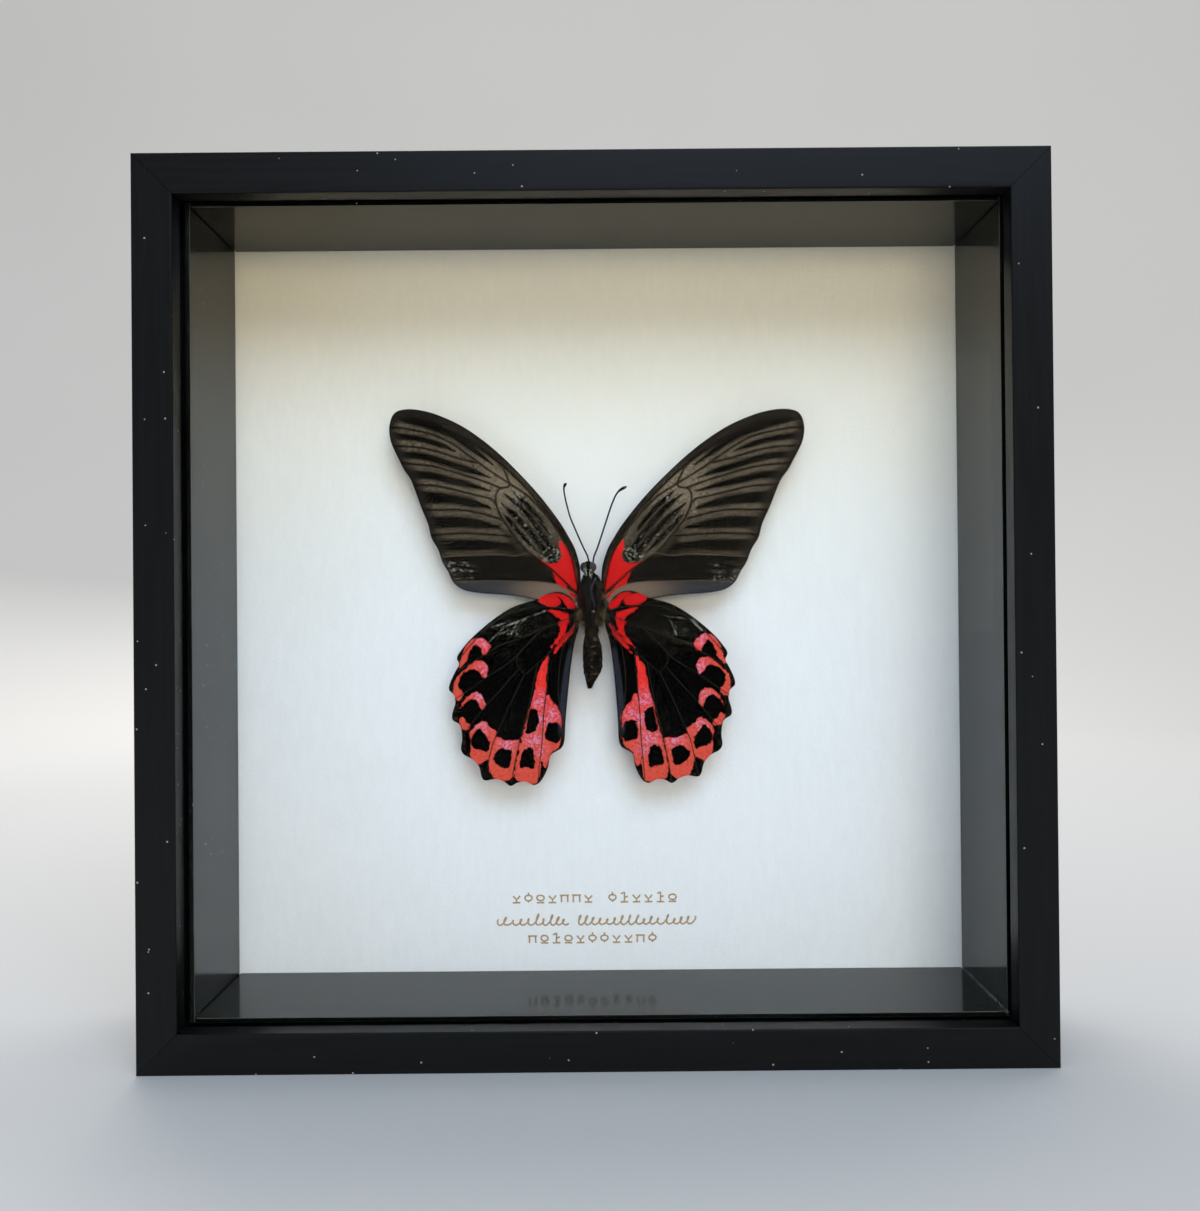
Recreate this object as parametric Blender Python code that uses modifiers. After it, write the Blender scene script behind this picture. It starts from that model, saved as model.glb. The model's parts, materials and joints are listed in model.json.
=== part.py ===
"""A butterfly pinned with its wings spread, underside showing, in a deep black box frame.

Units are metres and +Z is up. The frame stands on its bottom rail and its glass faces -Y.
The origin is on the surface that it stands on, under the middle of the whole object.

Depths are counted from the front of the rails towards the back. The specimen's own sizes
are counted from its body axis: outwards to either side, and up from the wing roots.
"""

from math import cos, pi, radians, sin

import bmesh
import bpy
from mathutils import Matrix, Vector

MM = 0.001
GAP = 0.3 * MM                    # clearance between pieces that touch on the real object

# The frame
OUTER = 250 * MM                  # height and width
FRAME_DEPTH = 55 * MM             # from the front face to the back of the rails
FACE_WIDTH = 11.25 * MM           # black face of a rail, seen from the front
LIP_DEPTH = 6 * MM                # thickness of the lip in front of the glass
RAIL_WALL = 9.4 * MM              # rail behind the lip, from its outer side to the rebate
RAIL_EDGE = 0.45 * MM             # width of the eased edges
HANGER_PROUD = 1.9 * MM           # how far the hanger stands out behind the rails

# What lies in the rebate, from front to back
PANE_SIDE = 230 * MM
PANE_THICKNESS = 2 * MM
CARD_SIDE = 229.6 * MM
CARD_THICKNESS = 2 * MM
CARD_DEPTH = 47.5 * MM            # front of the white card
PANEL_THICKNESS = 3 * MM
SPACER_OPENING = 225.6 * MM       # clear width between the spacer walls
SPACER_THICKNESS = 1.3 * MM
SPACER_SHIFT = Vector((0.8 * MM, 0, 0.3 * MM))   # the spacers have play and sit off centre

# The steel points that hold the back panel
POINT_LENGTH = 14 * MM
POINT_WIDTH = 11 * MM
POINT_THICKNESS = 0.5 * MM
POINT_SUNK = 5 * MM               # length driven into the rail
POINT_SHOULDER = 0.55             # where the taper starts, as a share of the length
POINT_TIP = 0.35                  # width of the tip, as a share of the full width
POINT_DEPTH = CARD_DEPTH + CARD_THICKNESS + PANEL_THICKNESS + 2 * GAP + POINT_THICKNESS / 2
POINT_OFFSET = 58 * MM            # from the middle of the rail

# The hanger on the top rail
HANGER_LENGTH = 44 * MM
HANGER_HEIGHT = 7.4 * MM
HANGER_SHEET = 0.8 * MM
HANGER_FOOT = 6.5 * MM            # flat length at each end, nailed to the rail
HANGER_STEP = 1.2 * MM            # length of the slope from the foot to the raised middle
HANGER_NAIL_SPAN = 37 * MM
HANGER_TEETH = 11
HANGER_TOOTH = 1.1 * MM
NAIL_HEAD_RADIUS = 1.5 * MM
NAIL_HEAD_HEIGHT = 0.5 * MM
NAIL_SHANK_RADIUS = 0.6 * MM
NAIL_LENGTH = 8 * MM
NAIL_SIDES = 14

# The specimen
AXIS_X = -1.2 * MM                # body axis, left of the frame's middle
ROOT_Z = 128 * MM                 # height of the wing roots
BODY_DEPTH = 36.2 * MM            # depth of the body's axis
HINDWING_DEPTH = 38.1 * MM        # middle of the hindwing's sheet at the root
FOREWING_DEPTH = 38.9 * MM        # the forewings lie behind the hindwings
WING_THICKNESS = 0.4 * MM
WING_STATION = 7 * MM             # spacing of the sheet's bends across the span
WING_BOW = 1.3 * MM               # how far a wing bows back towards the card at its tip
WING_SPAN = 64 * MM
FOREWING_RAKE = 0.018             # the leading edge leans towards the glass

# Each wing against the left one as drawn: its stretch outwards, how far it slants outwards for
# its height, how far it rises for its reach, and its shift outwards
AS_DRAWN = (1, 0, 0, 0)
RIGHT_FOREWING = (1.05, 0.031, -0.014, -0.4 * MM)
RIGHT_HINDWING = (1.003, 0.028, 0.02, 0.7 * MM)

PIN_OUT = 0.7 * MM                # the pin passes right of the body axis
PIN_UP = -3.5 * MM
PIN_RADIUS = 0.25 * MM
PIN_HEAD_RADIUS = 0.45 * MM
PIN_FRONT_DEPTH = 31.6 * MM
PIN_SIDES = 12
ANTENNA_RADIUS = 0.2 * MM
ANTENNA_BEHIND = 0.6 * MM         # its ends lie this far behind the body's axis
ANTENNA_ARCH = 0.8 * MM           # rise of its middle towards the glass
LEG_RADIUS = 0.3 * MM
PALP_RADIUS = 0.45 * MM

# Outlines in millimetres: outwards from the body axis, up from the wing roots
FOREWING = [
    (3.2, 7.6), (3.5, 11.0), (4.8, 15.6), (6.4, 18.8), (9.4, 23.9), (15.3, 31.8), (21.4, 38.6),
    (27.4, 44.6), (33.5, 49.7), (39.5, 53.7), (45.6, 56.6), (50.2, 58.1), (54.7, 58.8), (58.3, 58.4),
    (60.3, 56.9), (61.3, 53.6), (61.1, 49.8), (60.1, 46.9), (58.2, 42.9), (56.8, 40.1), (54.9, 37.3),
    (53.5, 33.7), (52.0, 29.4), (50.7, 26.2), (49.6, 23.3), (48.7, 19.4), (46.7, 15.8), (45.4, 11.9),
    (43.8, 9.2), (42.4, 6.2), (40.8, 4.5), (38.6, 3.3), (33.8, 2.4), (24.7, 1.7), (18.6, 0.6),
    (12.5, -0.9), (7.4, -1.4), (4.3, -0.6), (3.3, 2.6),
]
HINDWING = [
    (3.8, -3.6), (5.0, -0.9), (6.4, 1.0), (8.6, 2.3), (10.7, 2.6), (13.3, 2.0), (16.8, 0.3), (21.7, -1.1),
    (25.6, -2.8), (30.9, -6.4), (36.4, -11.1), (39.8, -15.0), (41.1, -17.3), (40.5, -19.3), (41.7, -21.6),
    (43.2, -24.7), (43.6, -27.0), (42.1, -28.6), (41.7, -31.0), (42.7, -34.4), (42.5, -36.3), (40.3, -37.9),
    (39.7, -41.7), (40.1, -45.0), (39.2, -46.8), (36.5, -48.3), (34.6, -50.6), (33.8, -53.7), (32.6, -54.7),
    (29.7, -54.3), (27.2, -55.0), (25.0, -56.4), (22.8, -55.4), (20.3, -55.2), (17.9, -56.2), (15.8, -55.0),
    (13.8, -51.4), (12.8, -47.3), (10.9, -45.9), (9.4, -44.9), (8.5, -42.6), (8.1, -36.4), (7.2, -27.3),
    (6.1, -18.2), (4.9, -11.9), (3.9, -8.9), (3.5, -6.4),
]
LEFT_ANTENNA = [
    (-1.0, 13.3), (-1.9, 15.2), (-3.3, 18.3), (-5.0, 22.3), (-6.2, 25.3), (-7.1, 28.7), (-7.7, 31.4),
    (-8.0, 33.6), (-7.8, 34.8), (-7.2, 35.5),
]
RIGHT_ANTENNA = [
    (1.0, 13.3), (1.9, 15.4), (2.8, 18.0), (3.8, 21.0), (5.1, 24.9), (6.6, 29.2), (7.9, 32.0),
    (9.2, 33.4), (11.1, 34.4),
]

# The body: half widths of its three swellings, and where each starts and ends along the axis
HEAD_TOP, HEAD_END, HEAD_RADIUS = 12.7 * MM, 8.2 * MM, 2.1 * MM
THORAX_TOP, THORAX_END, THORAX_RADIUS = 8.8 * MM, -8.6 * MM, 3.8 * MM
ABDOMEN_TOP, ABDOMEN_END, ABDOMEN_RADIUS = -6.2 * MM, -26.8 * MM, 3.0 * MM
NECK_RADIUS = 1.5 * MM
ABDOMEN_SEGMENTS = 8
SEGMENT_GROOVE = 0.07             # depth of a groove between segments, as a share of the radius
BODY_STATIONS = 44
BODY_SIDES = 20
NECK_TOP = HEAD_TOP - 2 * MM
EYE_RADIUS = 1.45 * MM
EYE_OUT = 1.35 * MM
EYE_UP = 10.7 * MM
EYE_FORWARD = 0.5 * MM
BORE_LENGTH = 14 * MM             # long enough to pass right through the body

# Palps and folded legs: (outwards, up, towards the glass) in millimetres, from the body's axis
PALP = [(0.55, 10.4, 0.9), (0.7, 9.2, 2.3), (0.75, 8.2, 3.1), (0.7, 7.3, 3.7)]
LEGS = [
    (-1, [(1.4, 4.8, 2.2), (0.5, 6, 3.9), (0.1, 4, 4.1), (0.3, 1.6, 4.3), (0.1, -0.8, 4.3), (0.2, -2.6, 4)]),
    (1, [(1.4, 5, 2.2), (1.6, 6.3, 3.4), (1, 4.2, 4), (0.6, 2, 4.3), (1.2, 0.2, 4.2), (1.5, -1.6, 4)]),
    (-1, [(1.9, 1.6, 2.6), (1.7, 4.3, 3.5), (1.3, 1.7, 3.9), (1.3, -1.2, 4), (1.1, -3.6, 4), (1, -5.4, 3.7)]),
    (1, [(2.2, 1, 2.2), (2.4, 3.6, 3), (2.1, 1, 3.6), (2.3, -1.6, 3.5), (2, -4, 3.5), (1.8, -6, 3.2)]),
]

BLACK_LACQUER = ("black_lacquered_wood", (0.012, 0.012, 0.014), 0.32, 0.0)
BLACK_SPACER = ("black_spacer_strip", (0.014, 0.014, 0.015), 0.15, 0.0)
CLEAR_GLASS = ("clear_glass", (0.9, 0.95, 0.93), 0.03, 0.0)
WHITE_CARD = ("white_card", (0.82, 0.81, 0.78), 0.9, 0.0)
BROWN_BOARD = ("brown_hardboard", (0.28, 0.17, 0.09), 0.75, 0.0)
BRIGHT_STEEL = ("bright_steel", (0.55, 0.55, 0.56), 0.35, 1.0)
WING_DARK = ("forewing_scales", (0.07, 0.06, 0.05), 0.8, 0.0)
WING_BLACK = ("hindwing_scales", (0.02, 0.018, 0.016), 0.8, 0.0)
BODY_BROWN = ("body_hair", (0.05, 0.03, 0.02), 0.85, 0.0)


def depth_to_y(depth):
    """The Y of a plane that lies this far behind the front of the rails."""
    return depth - (FRAME_DEPTH + HANGER_PROUD) / 2


def collection(name):
    made = bpy.data.collections.new(name)
    bpy.context.scene.collection.children.link(made)
    return made


def material(finish):
    name, colour, roughness, metallic = finish
    if name in bpy.data.materials:
        return bpy.data.materials[name]
    made = bpy.data.materials.new(name)
    made.use_nodes = True
    shader = made.node_tree.nodes["Principled BSDF"]
    shader.inputs["Base Color"].default_value = (*colour, 1)
    shader.inputs["Roughness"].default_value = roughness
    shader.inputs["Metallic"].default_value = metallic
    if finish is CLEAR_GLASS:
        shader.inputs["Transmission Weight"].default_value = 1
        shader.inputs["IOR"].default_value = 1.5
    made.diffuse_color = (*colour, 1)
    return made


def place(obj, finish=None, parts=True):
    """Moves an object into the parts or the cutters, and gives a part its material."""
    for held_by in list(obj.users_collection):
        held_by.objects.unlink(obj)
    (PARTS if parts else CUTTERS).objects.link(obj)
    if parts:
        obj.data.materials.clear()
        obj.data.materials.append(material(finish))
    else:
        obj.hide_render = True
        obj.display_type = "WIRE"
    return obj


def box(name, size, centre, finish=None, parts=True):
    bpy.ops.mesh.primitive_cube_add(size=1, location=centre)
    obj = bpy.context.object
    obj.name = obj.data.name = name
    obj.scale = size
    bpy.ops.object.transform_apply(location=False, rotation=False, scale=True)
    return place(obj, finish, parts)


def rod(name, radius, length, centre, sides=16):
    """A cutter: a cylinder that lies along Y."""
    bpy.ops.mesh.primitive_cylinder_add(
        vertices=sides, radius=radius, depth=length, location=centre, rotation=(pi / 2, 0, 0)
    )
    obj = bpy.context.object
    obj.name = obj.data.name = name
    return place(obj, parts=False)


def boolean(obj, tool, operation="DIFFERENCE"):
    step = obj.modifiers.new(tool.name, "BOOLEAN")
    step.operation = operation
    step.object = tool
    return step


def bevel(obj, width, segments=2):
    step = obj.modifiers.new("eased_edges", "BEVEL")
    step.width = width
    step.segments = segments
    step.limit_method = "ANGLE"
    step.angle_limit = radians(40)
    return step


def curve_object(name, dimensions, kind, points, cyclic):
    curve = bpy.data.curves.new(name, "CURVE")
    curve.dimensions = dimensions
    spline = curve.splines.new(kind)
    if kind == "BEZIER":
        spline.bezier_points.add(len(points) - 1)
        for knot, co in zip(spline.bezier_points, points):
            knot.co = co
            knot.handle_left_type = knot.handle_right_type = "AUTO"
    else:
        spline.points.add(len(points) - 1)
        for knot, co in zip(spline.points, points):
            knot.co = (*co, 1)
    spline.use_cyclic_u = cyclic
    obj = bpy.data.objects.new(name, curve)
    bpy.context.scene.collection.objects.link(obj)
    return obj


def as_mesh(obj, to_world=Matrix()):
    """Turns a curve object into a closed mesh object of the same name, and removes the curve."""
    bpy.context.view_layer.update()
    evaluated = obj.evaluated_get(bpy.context.evaluated_depsgraph_get())
    mesh = bpy.data.meshes.new_from_object(evaluated)
    work = bmesh.new()
    work.from_mesh(mesh)
    bmesh.ops.transform(work, matrix=to_world @ obj.matrix_world, verts=work.verts)
    bmesh.ops.remove_doubles(work, verts=work.verts, dist=0.001 * MM)
    bmesh.ops.dissolve_degenerate(work, dist=0.001 * MM, edges=work.edges)
    bmesh.ops.dissolve_limit(work, angle_limit=radians(0.5), verts=work.verts, edges=work.edges)
    bmesh.ops.recalc_face_normals(work, faces=work.faces)
    work.to_mesh(mesh)
    work.free()
    name, curve = obj.name, obj.data
    bpy.data.objects.remove(obj)
    bpy.data.curves.remove(curve)
    made = bpy.data.objects.new(name, mesh)
    bpy.context.scene.collection.objects.link(made)
    return made


def plate(name, outline, thickness, kind="POLY", resolution=3):
    """A flat closed sheet in its own XY plane, cut to an outline in metres."""
    flat = curve_object(name, "2D", kind, [(x, y, 0) for x, y in outline], cyclic=True)
    flat.data.resolution_u = resolution
    flat.data.fill_mode = "BOTH"
    flat.data.extrude = thickness / 2
    return flat


def tube(name, points, radius, swell=None, resolution=2):
    """A round closed tube along points; swell gives its radius at each point as a share."""
    line = curve_object(name, "3D", "POLY", points, cyclic=False)
    line.data.bevel_depth = radius
    line.data.bevel_resolution = resolution
    line.data.use_fill_caps = True
    if swell:
        for knot, share in zip(line.data.splines[0].points, swell):
            knot.radius = share
    return as_mesh(line)


def turned(name, profile, sides):
    """A solid turned round Z from a profile of (radius, height), listed from top to bottom."""
    mesh = bpy.data.meshes.new(name)
    work = bmesh.new()
    knots = [work.verts.new((radius, 0, height)) for radius, height in profile]
    for first, second in zip(knots, knots[1:]):
        work.edges.new((first, second))
    work.to_mesh(mesh)
    work.free()
    obj = bpy.data.objects.new(name, mesh)
    bpy.context.scene.collection.objects.link(obj)
    screw = obj.modifiers.new("turned", "SCREW")
    screw.steps = screw.render_steps = sides
    screw.use_merge_vertices = True
    screw.merge_threshold = 0.01 * MM
    screw.use_smooth_shade = True
    return obj


def point_slots(rail_name, rail):
    """Two slots in a rail, one for each steel point, as one cutter that follows the rail."""
    slots = bpy.data.meshes.new(f"{rail_name}_slots")
    work = bmesh.new()
    length = 2 * (POINT_SUNK + GAP)
    size = Vector((POINT_WIDTH + 2 * GAP, POINT_THICKNESS + 2 * GAP, length))
    inner = RAIL_WALL - OUTER / 2
    for side in (-1, 1):
        middle = Vector((side * POINT_OFFSET, depth_to_y(POINT_DEPTH), inner))
        bmesh.ops.create_cube(work, size=1, matrix=Matrix.Translation(middle) @ Matrix.Diagonal((*size, 1)))
    work.to_mesh(slots)
    work.free()
    cutter = bpy.data.objects.new(slots.name, slots)
    bpy.context.scene.collection.objects.link(cutter)
    cutter.parent = rail
    return place(cutter, parts=False)


def make_rail(name, turn):
    """An L-shaped rail, mitred at both ends; turn swings it round the frame's middle."""
    profile = [
        (0, 0), (FRAME_DEPTH, 0), (FRAME_DEPTH, RAIL_WALL), (LIP_DEPTH, RAIL_WALL),
        (LIP_DEPTH, FACE_WIDTH), (0, FACE_WIDTH),
    ]
    section = [(depth_to_y(depth), inward - OUTER / 2) for depth, inward in profile]
    lay_along_x = Matrix(((0, 0, 1, 0), (1, 0, 0, 0), (0, 1, 0, 0), (0, 0, 0, 1)))
    rail = as_mesh(plate(name, section, OUTER), lay_along_x)

    work = bmesh.new()
    work.from_mesh(rail.data)
    for side in (-1, 1):
        across = Vector((side, 0, 1)).normalized()
        bmesh.ops.bisect_plane(
            work, geom=work.verts[:] + work.edges[:] + work.faces[:],
            plane_co=across * (-GAP / 2), plane_no=across, clear_outer=True,
        )
        bmesh.ops.holes_fill(work, edges=[edge for edge in work.edges if edge.is_boundary])
    bmesh.ops.recalc_face_normals(work, faces=work.faces)
    work.to_mesh(rail.data)
    work.free()

    place(rail, BLACK_LACQUER)
    rail.location = (0, 0, OUTER / 2)
    rail.rotation_euler = (0, turn, 0)
    bevel(rail, RAIL_EDGE)
    boolean(rail, point_slots(name, rail))
    return rail


def make_point(name, turn, along):
    """A thin steel point, half of it in the rail and the rest over the back panel."""
    half, shoulder, tip = POINT_WIDTH / 2, POINT_LENGTH * POINT_SHOULDER, POINT_WIDTH / 2 * POINT_TIP
    outline = [
        (-half, 0), (half, 0), (half, shoulder), (tip, POINT_LENGTH), (-tip, POINT_LENGTH), (-half, shoulder),
    ]
    root = RAIL_WALL - POINT_SUNK - OUTER / 2
    stand = (
        Matrix.Translation((0, 0, OUTER / 2)) @ Matrix.Rotation(turn, 4, "Y")
        @ Matrix.Translation((along, depth_to_y(POINT_DEPTH), root)) @ Matrix.Rotation(pi / 2, 4, "X")
    )
    return place(as_mesh(plate(name, outline, POINT_THICKNESS), stand), BRIGHT_STEEL)


def bent_strip(name, bends, sheet, width):
    """A strip of sheet metal that follows bends in its XY plane, from z = 0 up to its width."""
    work = bmesh.new()
    near = [work.verts.new((along, out, 0)) for along, out in bends]
    far = [work.verts.new((along, out + sheet, 0)) for along, out in bends]
    for k in range(len(bends) - 1):
        work.faces.new((near[k], near[k + 1], far[k + 1], far[k]))
    raised = bmesh.ops.extrude_face_region(work, geom=work.faces[:], use_keep_orig=True)["geom"]
    corners = [item for item in raised if isinstance(item, bmesh.types.BMVert)]
    bmesh.ops.translate(work, vec=(0, 0, width), verts=corners)
    bmesh.ops.recalc_face_normals(work, faces=work.faces)
    mesh = bpy.data.meshes.new(name)
    work.to_mesh(mesh)
    work.free()
    obj = bpy.data.objects.new(name, mesh)
    bpy.context.scene.collection.objects.link(obj)
    return obj


def make_nail(name, spot):
    """A nail with a low domed head that stops at the back of the whole object."""
    back, under = HANGER_PROUD, HANGER_PROUD - NAIL_HEAD_HEIGHT
    profile = [
        (0, back), (NAIL_HEAD_RADIUS * 0.7, back - NAIL_HEAD_HEIGHT * 0.1),
        (NAIL_HEAD_RADIUS, back - NAIL_HEAD_HEIGHT * 0.6), (NAIL_HEAD_RADIUS, under),
        (NAIL_SHANK_RADIUS, under), (NAIL_SHANK_RADIUS, 2 * NAIL_SHANK_RADIUS - NAIL_LENGTH),
        (0, -NAIL_LENGTH),
    ]
    nail = turned(name, profile, NAIL_SIDES)
    nail.location = spot
    nail.rotation_euler = (-pi / 2, 0, 0)
    return place(nail, BRIGHT_STEEL)


def make_hanger():
    """A stamped strip whose middle stands off the rail, with teeth cut in its lower edge."""
    height = OUTER - RAIL_WALL / 2
    end = HANGER_LENGTH / 2
    foot = end - HANGER_FOOT
    step_out = HANGER_PROUD - HANGER_SHEET - GAP
    bends = [
        (-end, 0), (-foot, 0), (-foot + HANGER_STEP, step_out),
        (foot - HANGER_STEP, step_out), (foot, 0), (end, 0),
    ]
    hanger = place(bent_strip("hanger_plate", bends, HANGER_SHEET, HANGER_HEIGHT), BRIGHT_STEEL)
    hanger.location = (0, depth_to_y(FRAME_DEPTH + GAP), height - HANGER_HEIGHT / 2)

    pitch = 2 * HANGER_TOOTH
    start = -HANGER_TEETH * pitch / 2
    below, root = -HANGER_HEIGHT, -HANGER_HEIGHT / 2 - GAP
    zigzag = [(-start, below), (start, below)]
    for tooth in range(HANGER_TEETH):
        left = start + tooth * pitch
        zigzag += [(left, root), (left + pitch / 2, HANGER_TOOTH - HANGER_HEIGHT / 2)]
    zigzag.append((-start, root))
    upright = Matrix.Translation((0, depth_to_y(FRAME_DEPTH), height)) @ Matrix.Rotation(pi / 2, 4, "X")
    teeth = place(as_mesh(plate("hanger_teeth", zigzag, 4 * HANGER_PROUD), upright), parts=False)
    boolean(hanger, teeth)

    for side, word in ((-1, "left"), (1, "right")):
        spot = Vector((side * HANGER_NAIL_SPAN / 2, depth_to_y(FRAME_DEPTH), height))
        hole = rod(f"nail_hole_{word}", NAIL_SHANK_RADIUS + GAP, 2 * (NAIL_LENGTH + GAP), spot)
        boolean(hanger, hole)
        boolean(bpy.data.objects["rail_top"], hole)
        make_nail(f"hanger_nail_{word}", spot)


def make_frame():
    turns = {"bottom": 0, "left": pi / 2, "top": pi, "right": -pi / 2}
    for side, turn in turns.items():
        make_rail(f"rail_{side}", turn)
        low_word, high_word = ("left", "right") if side in ("bottom", "top") else ("upper", "lower")
        if side in ("top", "right"):
            low_word, high_word = high_word, low_word
        make_point(f"point_{side}_{low_word}", turn, -POINT_OFFSET)
        make_point(f"point_{side}_{high_word}", turn, POINT_OFFSET)
    make_hanger()

    middle = Vector((0, 0, OUTER / 2))

    def sheet(name, side, thickness, front_depth, finish):
        centre = middle + Vector((0, depth_to_y(front_depth + thickness / 2), 0))
        return box(name, (side, thickness, side), centre, finish)

    sheet("glass_pane", PANE_SIDE, PANE_THICKNESS, LIP_DEPTH + GAP, CLEAR_GLASS)
    card = sheet("mount_card", CARD_SIDE, CARD_THICKNESS, CARD_DEPTH, WHITE_CARD)
    sheet("back_panel", CARD_SIDE, PANEL_THICKNESS, CARD_DEPTH + CARD_THICKNESS + GAP, BROWN_BOARD)
    boolean(card, pin_bore("card_pin_hole", CARD_DEPTH + CARD_THICKNESS / 2, 3 * CARD_THICKNESS))

    front = LIP_DEPTH + PANE_THICKNESS + 2 * GAP
    length = CARD_DEPTH - GAP - front
    opening = middle + SPACER_SHIFT + Vector((0, depth_to_y(front + length / 2), 0))
    reach = (SPACER_OPENING + SPACER_THICKNESS) / 2
    tall = SPACER_OPENING + 2 * SPACER_THICKNESS
    wide = SPACER_OPENING - 2 * GAP
    for word, side in (("left", -1), ("right", 1)):
        centre = opening + Vector((side * reach, 0, 0))
        box(f"spacer_{word}", (SPACER_THICKNESS, length, tall), centre, BLACK_SPACER)
    for word, side in (("bottom", -1), ("top", 1)):
        centre = opening + Vector((0, 0, side * reach))
        box(f"spacer_{word}", (wide, length, SPACER_THICKNESS), centre, BLACK_SPACER)


def specimen(out, up, depth):
    """A place on the specimen, from sizes in metres."""
    return Vector((AXIS_X + out, depth_to_y(depth), ROOT_Z + up))


def pin_bore(name, depth, length):
    return rod(name, PIN_RADIUS + GAP, length, specimen(PIN_OUT, PIN_UP, depth))


def body_radius(height):
    """Half the body's width at a height along its axis."""
    def swelling(top, end, radius, fullness):
        reach = (2 * height - top - end) / (top - end)
        return radius * max(0.0, 1 - abs(reach) ** fullness) ** 0.5 if abs(reach) < 1 else 0.0

    head = swelling(HEAD_TOP, HEAD_END, HEAD_RADIUS, 2.2)
    thorax = swelling(THORAX_TOP, THORAX_END, THORAX_RADIUS, 2.4)
    abdomen = swelling(ABDOMEN_TOP, ABDOMEN_END, ABDOMEN_RADIUS, 2.6)
    along = (ABDOMEN_TOP - height) / (ABDOMEN_TOP - ABDOMEN_END)
    if 0 < along < 1:
        abdomen *= 1 - SEGMENT_GROOVE * (0.5 + 0.5 * cos(2 * pi * ABDOMEN_SEGMENTS * along)) ** 3
    neck = NECK_RADIUS if ABDOMEN_TOP < height < NECK_TOP else 0.0
    return max(head, thorax, abdomen, neck)


def make_body():
    """Head, eyes, palps, thorax, abdomen and folded legs, grown as one piece."""
    total = HEAD_TOP - ABDOMEN_END
    profile = [(0, HEAD_TOP)]
    for station in range(1, BODY_STATIONS):
        height = HEAD_TOP - total * station / BODY_STATIONS
        profile.append((body_radius(height), height))
    profile.append((0, ABDOMEN_END))
    body = turned("butterfly_body", profile, BODY_SIDES)
    body.location = specimen(0, 0, BODY_DEPTH)

    grown_on = collection("grown_on_the_body")

    def limb(name, side, knots, radius, swell, resolution):
        line = [specimen(side * out * MM, up * MM, BODY_DEPTH - front * MM) for out, up, front in knots]
        grown_on.objects.link(place(tube(name, line, radius, swell, resolution), parts=False))

    for side in (-1, 1):
        bpy.ops.mesh.primitive_uv_sphere_add(
            segments=14, ring_count=9, radius=EYE_RADIUS,
            location=specimen(side * EYE_OUT, EYE_UP, BODY_DEPTH - EYE_FORWARD),
        )
        eye = place(bpy.context.object, parts=False)
        eye.name = f"eye_{side}"
        grown_on.objects.link(eye)
        limb(f"palp_{side}", side, PALP, PALP_RADIUS, (1, 1.2, 1, 0.5), 2)
    for number, (side, knots) in enumerate(LEGS):
        limb(f"leg_{number}", side, knots, LEG_RADIUS, (1.5, 1.2, 1.1, 1, 0.8, 0.6), 1)
    join = body.modifiers.new("grown_on", "BOOLEAN")
    join.operation = "UNION"
    join.operand_type = "COLLECTION"
    join.collection = grown_on
    boolean(body, pin_bore("body_pin_bore", BODY_DEPTH, BORE_LENGTH))
    place(body, BODY_BROWN)


def wing_depth(root_depth, out, up, rake):
    """Depth of a wing's sheet: it bows back along the span, in straight stretches."""
    return root_depth + WING_BOW * (out / WING_SPAN) ** 2 - rake * up


def make_wing(name, outline, side, spread, root_depth, rake, finish):
    """A thin sheet cut to the wing's outline, bent at regular stations across the span."""
    stretch, slant, rise, shift = spread
    points = [
        (side * ((stretch * out + slant * up) * MM + shift), (up + rise * out) * MM) for out, up in outline
    ]
    stand = Matrix.Rotation(pi / 2, 4, "X")
    wing = as_mesh(plate(name, points, WING_THICKNESS, kind="BEZIER"), stand)

    work = bmesh.new()
    work.from_mesh(wing.data)
    stations = int(WING_SPAN * stretch / WING_STATION) + 1
    for station in range(1, stations + 1):
        bmesh.ops.bisect_plane(
            work, geom=work.verts[:] + work.edges[:] + work.faces[:],
            plane_co=(side * station * WING_STATION, 0, 0), plane_no=(1, 0, 0),
        )
    for vert in work.verts:
        out = abs(vert.co.x)
        before = int(out / WING_STATION + 1e-6) * WING_STATION
        share = (out - before) / WING_STATION
        depth = (
            wing_depth(root_depth, before, vert.co.z, rake) * (1 - share)
            + wing_depth(root_depth, before + WING_STATION, vert.co.z, rake) * share
        )
        vert.co = specimen(vert.co.x, vert.co.z, depth) + Vector((0, vert.co.y, 0))
    work.to_mesh(wing.data)
    work.free()
    return place(wing, finish)


def make_antenna(name, path):
    """A thin feeler that ends in a club."""
    points = []
    last = len(path) - 1
    for number, (out, up) in enumerate(path):
        arch = ANTENNA_ARCH * sin(pi * number / last)
        points.append(specimen(out * MM, up * MM, BODY_DEPTH + ANTENNA_BEHIND - arch))
    swell = [1] * (last - 2) + [1.5, 2.0, 1.7]
    place(tube(name, points, ANTENNA_RADIUS, swell), BODY_BROWN)


def make_pin():
    """A turned pin: a small round head, a shank and a point, laid along Y."""
    length = CARD_DEPTH + CARD_THICKNESS - GAP - PIN_FRONT_DEPTH
    profile = [(0, 0)]
    steps = 6
    for step in range(1, steps):
        angle = pi * step / steps
        profile.append((PIN_HEAD_RADIUS * sin(angle), PIN_HEAD_RADIUS * (cos(angle) - 1)))
    profile += [(PIN_RADIUS, -2 * PIN_HEAD_RADIUS), (PIN_RADIUS, 4 * PIN_RADIUS - length), (0, -length)]
    pin = turned("insect_pin", profile, PIN_SIDES)
    pin.location = specimen(PIN_OUT, PIN_UP, PIN_FRONT_DEPTH)
    pin.rotation_euler = (pi / 2, 0, 0)
    place(pin, BRIGHT_STEEL)


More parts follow.
